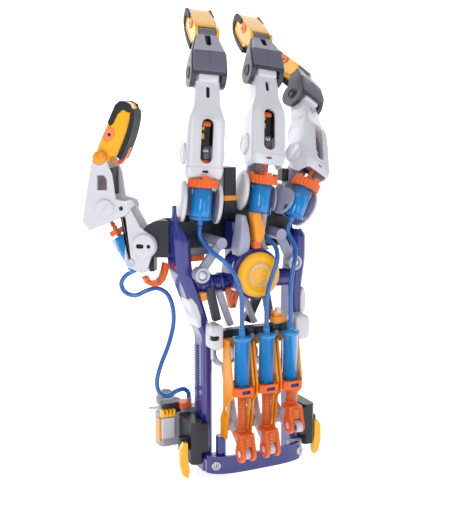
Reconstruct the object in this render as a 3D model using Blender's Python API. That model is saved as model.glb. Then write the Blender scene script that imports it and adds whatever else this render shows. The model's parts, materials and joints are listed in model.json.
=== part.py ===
"""A hydraulic hand kit: a big mechanical hand worn over the forearm and worked by the wearer's own fingers.

Run it with: blender --background --python part.py

Frame: +Z runs from the wrist cuff to the fingertips, -Y is the back of the hand, where the control
syringes are, and +Y is the palm side, which the fingers curl towards. The origin is the centre of the
wrist cuff. Shapes are written in
millimetres and turned into metres where a mesh is made.
"""

import math

import bmesh
import bpy
from mathutils import Euler, Matrix, Vector

MM = 0.001
GAP = 0.4  # between pieces that touch
ROUND = 16  # sides of a round piece

# Wrist frame: two rails, joined by the cuff, the syringe bridge, the hub and the knuckle beam.
RAIL_HALF_DEPTH = 11.0
RAIL_FOOT = -20.0
CUFF_Z = (-19.0, -3.0)
CUFF_WALL = 3.0
CUFF_REACH = 27.0
RACK_Z = (-6.0, 92.0)
BEAM_Z = (199.0, 215.0)
BEAM_Y = (10.4, 20.4)
HUB_CENTRE = Vector((-9.0, 0.0, 157.0))
DIAL_RADIUS = 19.5
# A rail's outline: height, middle x without its sign, width, middle y, depth
RAIL_LEFT = [
    (RAIL_FOOT, 46, 9, 0, 22),
    (98, 46, 9, 0, 22),
    (112, 50, 11, -1, 23),
    (140, 60, 13, -2, 25),
    (165, 68, 14, -2, 26),
    (186, 69.5, 14, -2, 25.6),
    (194, 71, 10.6, -3, 20),
    (199, 73, 6, -4, 13),
    (216, 73.4, 1.6, -4, 3),
]
RAIL_RIGHT = [
    (RAIL_FOOT, 41.5, 9, 0, 22),
    (98, 40, 9, 0, 22),
    (112, 40, 10, -1, 23),
    (140, 40.5, 12, -2, 24),
    (165, 43, 12.6, -2, 25),
    (184, 43.4, 12, -2, 24),
    (190, 43.4, 8, -1, 18),
]

# Control syringes on the back of the wrist.
SYRINGE_X = {"index": -29.2, "middle": -6.0, "ring": 17.2}
SYRINGE_Y = -42.0
BARREL_RADIUS = 6.6
BARREL_BORE = 5.2
BARREL_Z = (58.0, 108.0)
FORK_Y = -50.0
PISTON_REACH = 58.0
LEVER_PIVOT = Vector((0.0, -26.0, 26.0))
LEVER_REACH = 61.0

# One finger, measured from its knuckle axis with the finger straight.
PROXIMAL = 67.0  # knuckle axis to middle joint axis
MIDDLE = 36.0  # middle joint axis to tip joint axis
TIP_SETBACK = -4.0  # the tip joint lies this far towards the back of the finger
CYLINDER_Y = -13.0
ROD_EYE = (-9.6, -11.0)  # y and z of the pin that the cylinder's rod pushes on

# name: knuckle, lean, yaw, rest angles at the three joints, foot of the cylinder, fork height, lever angle
FINGERS = {
    "index": ((-46, 0, 257), 5, -12, (8, 20, 37), -49, 8.0, -38.4),
    "middle": ((11, 0, 263), 8, -7, (20, 20, 25), -54, 8.5, -35.5),
    "ring": ((54, 0, 250), 29, 13, (31, 8, 27), -50, 26.0, 0.0),
}

# Which sides of a knuckle bracket have a full cheek: left, right. The other is thin, to clear its neighbour.
PETALS = {"index": (True, True), "middle": (True, False), "ring": (False, True)}

# The thumb stands beside the left rail and faces the fingers.
THUMB_AXIS = Vector((-87.5, 20.0, 181.5))
THUMB_YAW = -127.0
THUMB_KNUCKLE = (-19.0, 31.5)  # y and z from the swing axis
THUMB_TIP_JOINT = (-18.0, 42.0)  # y and z from the thumb's knuckle
THUMB_TIP_BEND = 25.0
THUMB_TRUNNION = (-12.0, -15.0)
THUMB_EYE = (-15.5, -11.0)

NAVY = (0.03, 0.05, 0.32)
DARK = (0.05, 0.06, 0.09)
GREY = (0.30, 0.30, 0.38)
PALE = (0.72, 0.72, 0.78)
WHITE = (0.88, 0.88, 0.90)
YELLOW = (0.98, 0.62, 0.03)
ORANGE = (0.95, 0.24, 0.03)
BLUE = (0.02, 0.42, 0.85)


# ---------------------------------------------------------------- shapes, each a bmesh in millimetres


def loft(rings):
    """A closed solid through rings that have the same number of points."""
    shape = bmesh.new()
    rows = [[shape.verts.new(point) for point in ring] for ring in rings]
    count = len(rows[0])
    for low, high in zip(rows, rows[1:]):
        for i in range(count):
            j = (i + 1) % count
            shape.faces.new((low[i], low[j], high[j], high[i]))
    shape.faces.new(list(reversed(rows[0])))
    shape.faces.new(rows[-1])
    bmesh.ops.recalc_face_normals(shape, faces=shape.faces)
    return shape


def slab_ring(z, x0, x1, y0, y1, chamfer):
    """A rectangle with cut corners, at height z."""
    c = chamfer
    return [
        (x0 + c, y0, z),
        (x1 - c, y0, z),
        (x1, y0 + c, z),
        (x1, y1 - c, z),
        (x1 - c, y1, z),
        (x0 + c, y1, z),
        (x0, y1 - c, z),
        (x0, y0 + c, z),
    ]


def block(x, y, z, chamfer=0.0):
    """A box between pairs of limits, with the upright edges cut."""
    if chamfer:
        return loft([slab_ring(h, *x, *y, chamfer) for h in z])
    corners = [(x[0], y[0]), (x[1], y[0]), (x[1], y[1]), (x[0], y[1])]
    return loft([[(a, b, h) for a, b in corners] for h in z])


def plate(outline, axis, low, high):
    """An outline extruded along X, Y or Z. The outline's pairs are (y, z), (x, z) or (x, y)."""
    if axis == "X":
        rings = [[(level, a, b) for a, b in outline] for level in (low, high)]
    elif axis == "Y":
        rings = [[(a, level, b) for a, b in outline] for level in (low, high)]
    else:
        rings = [[(a, b, level) for a, b in outline] for level in (low, high)]
    return loft(rings)


def arc(centre, radius, start, end, steps):
    """Points on an arc, in degrees from the first axis towards the second."""
    turn = [math.radians(start + (end - start) * i / steps) for i in range(steps + 1)]
    return [(centre[0] + radius * math.cos(a), centre[1] + radius * math.sin(a)) for a in turn]


def turned(profile, base, direction, sides=ROUND):
    """A round solid: the profile's pairs are (radius, distance along direction from base)."""
    axis = Vector(direction).normalized()
    across = axis.orthogonal().normalized()
    third = axis.cross(across)
    rings = []
    for radius, along in profile:
        ring = []
        for i in range(sides):
            a = 2 * math.pi * i / sides
            offset = across * math.cos(a) * radius + third * math.sin(a) * radius
            ring.append(Vector(base) + axis * along + offset)
        rings.append(ring)
    return loft(rings)


def bar(start, end, radius, sides=ROUND):
    """A round bar from one point to another."""
    span = Vector(end) - Vector(start)
    return turned([(radius, 0), (radius, span.length)], start, span, sides)


def sides(side, near, far):
    """A pair of limits on one side of the middle, in rising order."""
    return tuple(sorted((side * near, side * far)))


# ---------------------------------------------------------------- objects


def material(name, colour, roughness=0.4):
    found = bpy.data.materials.get(name)
    if found:
        return found
    made = bpy.data.materials.new(name)
    made.use_nodes = True
    shader = made.node_tree.nodes["Principled BSDF"]
    shader.inputs["Base Color"].default_value = (*colour, 1)
    shader.inputs["Roughness"].default_value = roughness
    return made


def pivot(name, parent=None, at=(0, 0, 0), turn=(0, 0, 0)):
    """An empty on a joint's axis. The turn is in degrees about X, Y and Z."""
    empty = bpy.data.objects.new("pivot_" + name, None)
    bpy.context.scene.collection.objects.link(empty)
    empty.parent = parent
    empty.location = Vector(at) * MM
    empty.rotation_euler = Euler([math.radians(a) for a in turn], "XYZ")
    return empty


def in_frame_of(empty, shape):
    """A shape laid out in the object's frame, moved into an empty's."""
    bpy.context.view_layer.update()
    turn = empty.matrix_world.inverted()
    turn.translation = turn.translation / MM
    shape.transform(turn)
    return shape


def temporary(shape):
    mesh = bpy.data.meshes.new("temporary")
    shape.to_mesh(mesh)
    shape.free()
    helper = bpy.data.objects.new("temporary", mesh)
    bpy.context.scene.collection.objects.link(helper)
    return helper


def piece(name, colour, add, cut=(), parent=None):
    """One solid node: the first shape joined with the others, less the cutters."""
    base = temporary(add[0])
    helpers = [(temporary(s), "UNION") for s in add[1:]] + [(temporary(s), "DIFFERENCE") for s in cut]
    for helper, operation in helpers:
        modifier = base.modifiers.new(operation, "BOOLEAN")
        modifier.operation = operation
        modifier.object = helper
        modifier.solver = "EXACT"
    graph = bpy.context.evaluated_depsgraph_get()
    mesh = bpy.data.meshes.new_from_object(base.evaluated_get(graph))
    for helper in [base] + [h for h, _ in helpers]:
        old = helper.data
        bpy.data.objects.remove(helper)
        bpy.data.meshes.remove(old)
    mesh.transform(Matrix.Scale(MM, 4))
    mesh.name = name
    mesh.materials.clear()
    mesh.materials.append(material(*colour))
    mesh.set_sharp_from_angle(angle=math.radians(35))
    made = bpy.data.objects.new(name, mesh)
    bpy.context.scene.collection.objects.link(made)
    made.parent = parent
    return made


PAINT = {
    "navy": ("navy_plastic", NAVY, 0.3),
    "dark": ("dark_plastic", DARK, 0.4),
    "grey": ("grey_plastic", GREY, 0.4),
    "pale": ("pale_plastic", PALE, 0.35),
    "white": ("white_plastic", WHITE, 0.3),
    "yellow": ("yellow_plastic", YELLOW, 0.3),
    "orange": ("orange_plastic", ORANGE, 0.35),
    "blue": ("blue_clear_plastic", BLUE, 0.1),
    "rubber": ("black_rubber", (0.03, 0.03, 0.04), 0.8),
    "hose": ("blue_hose", (0.01, 0.25, 0.70), 0.25),
}


# ---------------------------------------------------------------- the wrist frame


def rail(name, side, stations):
    """One side rail: straight and racked beside the forearm, and bulging beside the palm."""
    rings = []
    for z, x, width, y, depth in stations:
        half, deep = width / 2, depth / 2
        cut = min(width, depth) * 0.28
        ring = slab_ring(z, x - half, x + half, y - deep, y + deep, cut)
        rings.append([(side * a, b, c) for a, b, c in ring])
    outer = stations[0][1] + stations[0][2] / 2
    rack = block(sides(side, outer - 1.5, outer + 1.6), (1.0, 6.5), RACK_Z)
    piece(name, PAINT["navy"], [loft(rings), rack])


def cuff_path(first, last, steps, reach):
    """Points on the cuff's outline in plan: a flattened arch in front of the rails."""
    points = []
    for i in range(steps + 1):
        a = math.radians(first + (last - first) * i / steps)
        x = 47.8 * math.copysign(abs(math.cos(a)) ** 0.6, math.cos(a)) - 2.2
        points.append((x, -RAIL_HALF_DEPTH - GAP - reach * math.sin(a) ** 0.8))
    return points


def arch_strip(first, last, steps, wall):
    reach = CUFF_REACH - RAIL_HALF_DEPTH
    outer = cuff_path(first, last, steps, reach)
    middle = Vector((0, -RAIL_HALF_DEPTH))
    inner = []
    for i, point in enumerate(outer):
        before = Vector(outer[max(i - 1, 0)])
        after = Vector(outer[min(i + 1, len(outer) - 1)])
        along = (after - before).normalized()
        normal = Vector((along.y, -along.x))
        if normal.dot(middle - Vector(point)) < 0:
            normal = -normal
        inner.append(tuple(Vector(point) + normal * wall))
    return outer + list(reversed(inner))


def cuff():
    """The cuff closes the frame round the forearm: a navy band, and a pale link at its right."""
    split = 38
    band = plate(arch_strip(180, split, 14, CUFF_WALL), "Z", *CUFF_Z)
    foot_left = block((-50, -36), (-17, -RAIL_HALF_DEPTH - GAP), (CUFF_Z[0], CUFF_Z[1]), 1.5)
    guard = block((-41, -33), (-21, -13), (CUFF_Z[0] + 3, 14), 2)
    piece("cuff_band", PAINT["navy"], [band, foot_left, guard])
    link = plate(arch_strip(split - 2, 0, 6, CUFF_WALL), "Z", CUFF_Z[0] + 1, CUFF_Z[1] - 1)
    foot_right = block((32, 45.6), (-17, -RAIL_HALF_DEPTH - GAP), (CUFF_Z[0] + 1, CUFF_Z[1] - 1), 1.5)
    piece("cuff_link", PAINT["pale"], [link, foot_right])


def hub():
    """The hub in the middle of the palm, its dial, and the two arms that brace it."""
    x, z = HUB_CENTRE.x, HUB_CENTRE.z
    housing = [
        turned([(19.8, 0), (21.4, 2), (21.4, 26)], (x, -30, z), (0, 1, 0), 22),
        block((x - 10, x + 10), (-5, 15.6), (134, BEAM_Z[0] - GAP), 3),
        bar((-52.5, -4, 147), (33.4, -4, 147), 8),
    ]
    piece("hub_housing", PAINT["navy"], housing)
    dial = turned([(16, -6.5), (DIAL_RADIUS, -4.5), (DIAL_RADIUS, -GAP)], (0, 0, 0), (0, 1, 0), 24)
    hub_dial = pivot("hub_dial", None, (x, -30, z))
    piece("hub_dial", PAINT["yellow"], [dial], parent=hub_dial)
    for name, low, high in (("left", (-57, 159), (-38, 184)), ("right", (31, 163), (19, 188))):
        along = (Vector(high) - Vector(low)).normalized()
        across = Vector((-along.y, along.x)) * 3.6
        strip = [Vector(low) - across, Vector(high) - across, Vector(high) + across, Vector(low) + across]
        arm = plate([tuple(v) for v in strip], "Y", -20, -15.6)
        boss = bar((low[0], -24, low[1]), (low[0], -15.6, low[1]), 6.4)
        post = bar((high[0], -22, high[1]), (high[0], BEAM_Y[0] + 5.2, high[1]), 5)
        piece("hub_arm_" + name, PAINT["pale"], [arm, boss, post])


def knuckle_beam():
    """The beam that carries the fingers, with a web behind the rails and a post between two fingers."""
    beam = block((-56, 50), BEAM_Y, BEAM_Z, 3)
    web = block((-66, 52), (BEAM_Y[0] + 5.6, BEAM_Y[1]), (172, BEAM_Z[1] - 2), 1)
    post = block((-27.5, -15.5), (-4, 14), (BEAM_Z[1] - 8, 246), 1)
    piece("knuckle_beam", PAINT["dark"], [beam, web, post])


def buckles():
    """A clamp on each rail's rack, set along it to suit the forearm, and the yellow lever that locks it."""
    for name, side, stations in (("left", -1, RAIL_LEFT), ("right", 1, RAIL_RIGHT)):
        middle = stations[0][1]
        slide = pivot("buckle_" + name, None, (side * middle, 0, 9))
        body = block(sides(side, 6.6, 17.6), (-15.5, 15.5), (-19, 19), 2.5)
        front = block(sides(side, 1.6, 10), (-15.5, -11.6), (-8.6, 17), 1)
        back = block(sides(side, 1.6, 10), (11.6, 15.5), (-19, 17), 1)
        ear = block(sides(side, 15, 25), (-6, 0), (-8, 4), 1)
        hole = bar((side * 22, -7, -2), (side * 22, -1, -2), 1.6, 10)
        piece("buckle_" + name, PAINT["dark"], [body, front, back, ear], [hole], slide)
        lever = pivot("lock_lever_" + name, slide, (side * 22, 0, -2))
        profile = [(-2, 2.6), (1.6, 3), (4.6, -2), (5, -16), (2.4, -27), (-2, -30), (-3.6, -24), (-2, -12)]
        handle = plate([(side * a, b) for a, b in profile], "Y", -11.6, -6.6)
        tongue = bar((0, -8, 0), (0, -1.9, 0), 1.1, 10)
        piece("lock_lever_" + name, PAINT["yellow"], [handle, tongue], parent=lever)


# ---------------------------------------------------------------- control syringes


def syringe_bridge():
    """The crossbar that holds the tops of the syringe cradles, with a block that clamps each rail."""
    parts = [block((-43, 32), (-26.5, -18), (97, 111), 2)]
    cuts = []
    for side, near, far in ((-1, 40.6, 51), (1, 28.6, 43)):
        parts.append(block(sides(side, near, far), (-31, -14.8), (95, 116), 2.4))
        cuts.append(block(sides(side, far - 4, far + 3), (-33, -24), (103, 107)))
    piece("syringe_bridge", PAINT["dark"], parts, cuts)


def syringe(name, fork_z, lever_angle):
    """One control unit: cradle, barrel, plunger and the lever that the wearer's finger pulls."""
    x = SYRINGE_X[name]
    base = (x, SYRINGE_Y, BARREL_Z[0])
    tall = BARREL_Z[1] - BARREL_Z[0]
    cradle(name, x)
    profile = [(BARREL_RADIUS, 0), (BARREL_RADIUS, tall - 3), (8, tall - 2.5), (8, tall)]
    barrel = turned(profile, base, (0, 0, 1))
    nozzle = turned([(2.9, tall - 0.5), (2.3, tall + 6.5)], base, (0, 0, 1), 12)
    clamp = turned([(8.6, 0), (8.6, 7)], base, (0, 0, 1))
    bore = turned([(BARREL_BORE, -1), (BARREL_BORE, tall - 3.5)], base, (0, 0, 1))
    piece("syringe_barrel_" + name, PAINT["blue"], [barrel, nozzle, clamp], [bore])

    slide = pivot("plunger_" + name, None, (x, FORK_Y, fork_z))
    lean = SYRINGE_Y - FORK_Y
    rod = [
        turned([(4.7, PISTON_REACH - 6), (4.7, PISTON_REACH)], (0, lean, 0), (0, 0, 1)),
        turned([(3.2, 15), (3.2, PISTON_REACH - 5)], (0, lean, 0), (0, 0, 1), 12),
        block((-6.6, 6.6), (-3.2, lean + 3.4), (14.2, 17)),
        bar((-5, 0, 0), (5, 0, 0), 1.5, 12),
    ]
    outline = arc((0, 0), 7.4, 150, 390, 10) + [(3.2, 15.5), (-3.2, 15.5)]
    for side in (-1, 1):
        rod.append(plate(outline, "X", *sides(side, 3.4, 6.6)))
    piece("plunger_" + name, PAINT["orange"], rod, parent=slide)

    lever = pivot("lever_" + name, None, LEVER_PIVOT + Vector((x, 0, 0)), (-lever_angle, 0, 0))
    piece("lever_" + name, PAINT["pale"], *lever_shape(), lever)


def lever_shape():
    """A bell crank: a slotted arm round the plunger's pin, and an arm to the ring round a finger."""
    slotted = plate(arc((0, 0), 4.6, -90, 90, 6) + arc((-30.4, 0), 4.6, 90, 270, 6), "X", -2.6, 2.6)
    slot = plate(arc((-23.4, 0), 3, -90, 90, 6) + arc((-30.4, 0), 3, 90, 270, 6), "X", -4, 4)
    axle = bar((-6.4, 0, 0), (6.4, 0, 0), 5)
    direction = Vector((0, math.sin(math.radians(58)), math.cos(math.radians(58))))
    across = Vector((0, direction.z, -direction.y))
    far = LEVER_REACH - 10
    ends = [direction * d + across * s for d, s in ((0, -4), (0, 4), (far, 3), (far, -3))]
    long_arm = plate([(p.y, p.z) for p in ends], "X", -2.6, 2.6)
    loop = turned([(10.6, -4), (10.6, 4)], direction * LEVER_REACH, across)
    hole = turned([(8.4, -6), (8.4, 6)], direction * LEVER_REACH, across)
    axle_hole = bar((-8, 0, 0), (8, 0, 0), 2.4, 12)
    return [axle, slotted, long_arm, loop], [slot, hole, axle_hole]


def cradle(name, x):
    """The yellow channel behind a syringe: trussed sides that carry the clamp and the lever's axle."""
    outline = [(-45, 66), (-45, 56), (-38, 50), (-33, 16), (-22, 16)]
    outline += [(-22, 32), (-27.2, 42), (-27.2, 104), (-37, 104)]
    window = [(-35, 47), (-32, 33), (-29, 43)]
    parts = [block((x - 9.5, x + 9.5), (-29.4, -27.2), (56, 104))]
    cuts = [block((x - 6, x + 6), (-32, -24), (66, 96))]
    for side in (-1, 1):
        parts.append(plate(outline, "X", *sorted((x + side * 9.0, x + side * 10.8))))
        cuts.append(plate(window, "X", *sorted((x + side * 7, x + side * 13))))
    axle = LEVER_PIVOT + Vector((x, 0, 0))
    parts.append(bar(axle - Vector((10, 0, 0)), axle + Vector((10, 0, 0)), 2.0, 12))
    piece("cradle_" + name, PAINT["yellow"], parts, cuts)


# ---------------------------------------------------------------- fingers


def oval(y, z, half_y, half_z, x, steps=14):
    """An oval across the X axis."""
    turn = [2 * math.pi * i / steps for i in range(steps)]
    return [(x, y + half_y * math.cos(a), z + half_z * math.sin(a)) for a in turn]


def knuckle_bracket(name, base, foot):
    """Rounded cheeks beside the finger's cylinder, a back plate, and a neck up to the knuckle axis."""
    cheeks = []
    for side in (-1, 1):
        if PETALS[name][side > 0]:
            sizes = ((13.4, 15, 17.5), (15.6, 15, 17.5), (17.8, 10.5, 13))
            cheeks.append(loft([oval(-5, -39.5, deep, tall, side * x) for x, deep, tall in sizes]))
        else:
            cheeks.append(loft([oval(-7, -45, 12.5, 12.5, side * x) for x in (11.2, 12.4)]))
    back = block((-13.6, 13.6), (3.2, 7.8), (-52, -30), 1)
    neck = block((-9.5, 9.5), (1.5, 7.8), (-34, 3), 1)
    barrel = bar((-11.6, 0, 0), (11.6, 0, 0), 8)
    trunnion_hole = bar((-20, CYLINDER_Y, foot), (20, CYLINDER_Y, foot), 2.8, 12)
    axle_hole = bar((-13, 0, 0), (13, 0, 0), 2.6, 12)
    holes = [axle_hole, trunnion_hole]
    piece("knuckle_bracket_" + name, PAINT["pale"], [back, neck, barrel] + cheeks, holes, base)


def proximal_shell(name, joint):
    """The white shell: a channel open to the palm, with a long window in its back and a narrow neck."""
    outside = [(-20.5, 14.4), (-10, 15.8), (28, 15.8), (41, 10.8), (PROXIMAL - 7, 10.6)]
    front = [(-20.5, -15), (-10, -16.6), (28, -16.6), (41, -13), (PROXIMAL - 7, -9)]
    back = [(-20.5, 4), (-10, 8), (28, 8), (41, 6.5), (PROXIMAL - 7, 6)]
    outer = loft([slab_ring(z, -w, w, front[i][1], back[i][1], 3) for i, (z, w) in enumerate(outside)])
    wall = 2.4
    hollow_back = 12.0
    hollow_rings = []
    for i, (z, w) in enumerate(outside):
        reach = {0: -26, 4: PROXIMAL - 9}.get(i, z)
        hollow_rings.append(slab_ring(reach, -w + wall, w - wall, front[i][1] + wall, hollow_back, 1))
    hollow = loft(hollow_rings)
    knuckle_top = bar((-10.6, 0, PROXIMAL), (10.6, 0, PROXIMAL), 7)
    neck = block((-10.6, 10.6), (-8.6, 6), (PROXIMAL - 12, PROXIMAL), 1.5)
    discs = [bar((s * 13, 0, 0), (s * 17.6, 0, 0), 9.4, 20) for s in (-1, 1)]
    slant = plate([(-6, -24), (14, -24), (14, -8)], "X", -20, 20)
    window = plate(arc((0, 23.5), 5.2, 0, 180, 8) + arc((0, -3.5), 5.2, 180, 360, 8), "Y", -20, -10)
    notch = block((-2.6, 2.6), (-20, -10), (-16.2, -14.0))
    axle_hole = bar((-20, 0, 0), (20, 0, 0), 2.2, 12)
    pin_hole = bar((-20, 0, PROXIMAL), (20, 0, PROXIMAL), 2.2, 12)
    piece(
        "proximal_" + name,
        PAINT["white"],
        [outer, neck, knuckle_top] + discs,
        [hollow, slant, window, notch, axle_hole, pin_hole],
        joint,
    )


def middle_shell(name, joint):
    """The grey shell: two round cheeks and a tapering back plate, hinged at the top to the fingertip."""
    body = loft(
        [
            slab_ring(-6, -14.6, 14.6, -13.6, 0, 2),
            slab_ring(-1, -15.2, 15.2, -15, 5, 2),
            slab_ring(13, -15, 15, -15, 4, 2),
            slab_ring(30, -10.6, 10.6, -9.8, 1, 2),
            slab_ring(MIDDLE - 1, -9, 9, -8.8, -0.6, 2),
        ]
    )
    cheeks = [bar((s * 11.3, -1, 0), (s * 15.3, -1, 0), 12, 20) for s in (-1, 1)]
    channel = loft(
        [
            slab_ring(-14, -11.2, 11.2, -11, 14, 1),
            slab_ring(14, -11, 11, -11.6, 14, 1),
            slab_ring(28, -7.4, 7.4, -6.4, 14, 1),
        ]
    )
    barrel = bar((-7.4, TIP_SETBACK, MIDDLE), (7.4, TIP_SETBACK, MIDDLE), 4.6)
    slot = plate(arc((0, 32), 2.2, 0, 180, 6) + arc((0, 23), 2.2, 180, 360, 6), "Y", -16, 0)
    beside_ears = [bar((s * 7.5, TIP_SETBACK, MIDDLE), (s * 20, TIP_SETBACK, MIDDLE), 6.9) for s in (-1, 1)]
    piece("middle_" + name, PAINT["grey"], [body, barrel] + cheeks, [channel, slot] + beside_ears, joint)


# y and z of the fingertip's side view, measured from its joint
TIP_BACK = [(-5.6, 2), (-6, 12), (-6, 30), (-5.6, 42)]
PAD_CURVE = (6.4, 13.0, 8.2, 35.0)  # centre y, centre z, half depth, half length of the pad's outer arc


def pad_arc(grow, first, last, steps):
    y, z, deep, long = PAD_CURVE
    turn = [math.radians(first + (last - first) * i / steps) for i in range(steps + 1)]
    return [(y + (deep + grow) * math.cos(a), z + (long + grow) * math.sin(a)) for a in turn]


def tip_shell(name, joint, prefix="tip_", boss=0.0):
    """The yellow fingertip: a fin-shaped shell with two ears for its joint, or bosses on the thumb."""
    crown = [(-4.4, 45), (1, 45.8)] + pad_arc(-2.4, 92, -10, 10)
    outline = TIP_BACK + crown + [(8.6, 4.6), (3, 2)]
    fin = plate(outline, "X", -9.8, 9.8)
    ears = [bar((s * 7.9, 0, 0), (s * 10.6, 0, 0), 6.4, 18) for s in (-1, 1)]
    if boss:
        ears += [bar((s * 10, 0, 0), (s * boss, 0, 0), 5.8, 18) for s in (-1, 1)]
    knuckle = bar((-7.9, 0, 0), (7.9, 0, 0), 6.6)
    fork_gap = plate([(0, 5), (9, 3), (4, -12), (-12, -12), (-8, 1)], "X", -7.9, 7.9)
    piece(prefix + name, PAINT["yellow"], [fin] + ears, [knuckle, fork_gap], joint)


def tip_pad(name, joint, prefix="pad_"):
    """The black rubber pad: a curved sole over the fingertip's edges, with a strap down each side."""
    over = [(-6.2, 46), (-4.6, 49.4), (0, 50.4), (4, 50.2)]
    strap = [(0.6, 42), (-0.4, 29), (-2.8, 26.5), (-5.6, 29)]
    outline = over + pad_arc(2.2, 86, -14, 12) + pad_arc(-3.4, -14, 92, 12) + strap
    inside = [(-30, 46.2), (1, 46.2)] + pad_arc(-2.0, 92, -30, 14) + [(20, -30), (-30, -30)]
    solid = plate(outline, "X", -11.4, 11.4)
    piece(prefix + name, PAINT["rubber"], [solid], [plate(inside, "X", -10.2, 10.2)], joint)


def finger_cylinder(name, base, at, lean, collar_radius=12.6, pin=13.0, prefix="cylinder_"):
    """The clear cylinder that works a finger, on a trunnion at its foot, with its collar at the top."""
    tilt = pivot(prefix + name, base, (0, *at), (lean, 0, 0))
    body = turned([(7.6, -5), (8.6, -3), (8.6, 25)], (0, 0, 0), (0, 0, 1))
    flange = turned([(9.6, -4.2), (9.6, -1.6)], (0, 0, 0), (0, 0, 1))
    collar = turned([(collar_radius, 23), (collar_radius, 30)], (0, 0, 0), (0, 0, 1), 20)
    pins = bar((-pin, 0, 0), (pin, 0, 0), 2.4, 12)
    nozzle = bar((0, 0, -9), (0, 0, -4), 2.6, 12)
    bore = turned([(6.6, 3), (6.6, 40)], (0, 0, 0), (0, 0, 1))
    solid = [body, flange, collar, pins, nozzle]
    if prefix == "thumb_":
        solid.append(bar((0, 0, -6.6), (0, -8.4, -6.6), 2.2, 12))
    piece(prefix + name, PAINT["blue"], solid, [bore], tilt)
    return tilt


def finger_rod(name, tilt, reach, prefix="rod_"):
    """The rod that comes out of a cylinder and pushes the shell round its knuckle."""
    slide = pivot(prefix + name, tilt, (0, 0, reach))
    eye = bar((-4.4, 0, 0), (4.4, 0, 0), 2.3, 12)
    stem = bar((0, 0, -reach + 10), (0, 0, -1), 1.7, 12)
    head = turned([(6.2, 0), (6.2, 6)], (0, 0, -reach + 6), (0, 0, 1))
    hole = bar((-6, 0, 0), (6, 0, 0), 1.1, 10)
    piece(prefix + name, PAINT["orange"], [stem, head, eye], [hole], slide)


def rotated(point, degrees):
    """A (y, z) point turned towards the palm about the joint at (0, 0)."""
    a = math.radians(degrees)
    y, z = point
    return (y * math.cos(a) + z * math.sin(a), -y * math.sin(a) + z * math.cos(a))


def rod_line(base_at, eye_at):
    """The length of the line from a cylinder's foot to its rod's eye, and its lean, in degrees."""
    along = Vector(eye_at) - Vector(base_at)
    return along.length, math.degrees(math.atan2(-along.x, along.y))


def finger(name, at, lean, yaw, bend, foot):
    base = pivot("finger_" + name, None, at, (0, lean, yaw))
    knuckle_bracket(name, base, foot)
    knuckle = pivot("knuckle_" + name, base, (0, 0, 0), (-bend[0], 0, 0))
    proximal_shell(name, knuckle)
    middle = pivot("middle_" + name, knuckle, (0, 0, PROXIMAL), (-bend[1], 0, 0))
    middle_shell(name, middle)
    tip = pivot("tip_" + name, middle, (0, TIP_SETBACK, MIDDLE), (-bend[2], 0, 0))
    tip_shell(name, tip)
    tip_pad(name, tip)
    reach, back = rod_line((CYLINDER_Y, foot), rotated(ROD_EYE, bend[0]))
    tilt = finger_cylinder(name, base, (CYLINDER_Y, foot), back)
    finger_rod(name, tilt, reach)


# ---------------------------------------------------------------- thumb


def thumb():
    """The thumb: a housing beside the left rail, a bracket, one shell, a tip and its own cylinder."""
    base = pivot("thumb", None, THUMB_AXIS, (0, 0, THUMB_YAW))
    ear = bar((-9.2, 0, 0), (9.2, 0, 0), 8.6)
    body = block((-9.2, 9.2), (2, 30), (-10, 12), 1)
    cap = plate(arc((14, 2), 19.5, 90, 160, 6) + [(2, 0), (26, 0), (26, 21.5)], "X", -9.2, 9.2)
    post = block((-6, 6), (1.6, 6), (-23, -4), 1)
    ear_hole = bar((-14, 0, 0), (14, 0, 0), 3.4, 14)
    beside_rail = in_frame_of(base, block((-77, 0), (-60, 15.9), (120, 240)))
    behind_rail = in_frame_of(base, block((-66.6, 0), (15.8, 60), (120, 240)))
    behind_web = in_frame_of(base, block((-90, 0), (22, 60), (120, 240)))
    cuts = [ear_hole, beside_rail, behind_rail, behind_web]
    piece("thumb_housing", PAINT["dark"], [body, cap, ear, post], cuts, base)

    swing = pivot("thumb_bracket", base)
    knuckle_y, knuckle_z = THUMB_KNUCKLE
    outline = [(-23.6, 34), (-21, 37), (-16, 36.6), (-4, 15)] + arc((0, 0), 10.8, 60, -60, 8)
    outline += [(2, -22), (-3, -23.5), (-16.5, -18), (-17.6, -12), (-15.4, 12), (-23.6, 29)]
    cheeks = [plate(outline, "X", *sides(s, 9.8, 12.8)) for s in (-1, 1)]
    shaft = bar((-11, 0, 0), (11, 0, 0), 3, 12)
    knuckle_bar = bar((-11, *THUMB_KNUCKLE), (11, *THUMB_KNUCKLE), 5, 14)
    discs = [bar((s * 12, 0, 0), (s * 14.6, 0, 0), 10.2, 20) for s in (-1, 1)]
    slot = [(-6, -1.6), (0.4, -1.6), (0.4, 1.6), (-6, 1.6)]
    slots = [plate(slot, "X", *sides(s, 13.4, 18)) for s in (-1, 1)]
    trunnion_holes = bar((-20, *THUMB_TRUNNION), (20, *THUMB_TRUNNION), 2.8, 12)
    axle_hole = bar((-20, *THUMB_KNUCKLE), (20, *THUMB_KNUCKLE), 2.2, 12)
    solid = cheeks + [shaft, knuckle_bar] + discs
    piece("thumb_bracket", PAINT["white"], solid, slots + [trunnion_holes, axle_hole], swing)

    knuckle = pivot("thumb_knuckle", swing, (0, *THUMB_KNUCKLE))
    thumb_shell(knuckle)
    tip = pivot("thumb_tip", knuckle, (0, *THUMB_TIP_JOINT), (-THUMB_TIP_BEND, 0, 0))
    tip_shell("tip", tip, "thumb_", 16.8)
    tip_pad("pad", tip, "thumb_")
    eye = (knuckle_y + THUMB_EYE[0], knuckle_z + THUMB_EYE[1])
    reach, back = rod_line(THUMB_TRUNNION, eye)
    tilt = finger_cylinder("cylinder", swing, THUMB_TRUNNION, back, 10.4, 9.4, "thumb_")
    finger_rod("rod", tilt, reach, "thumb_")


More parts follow.
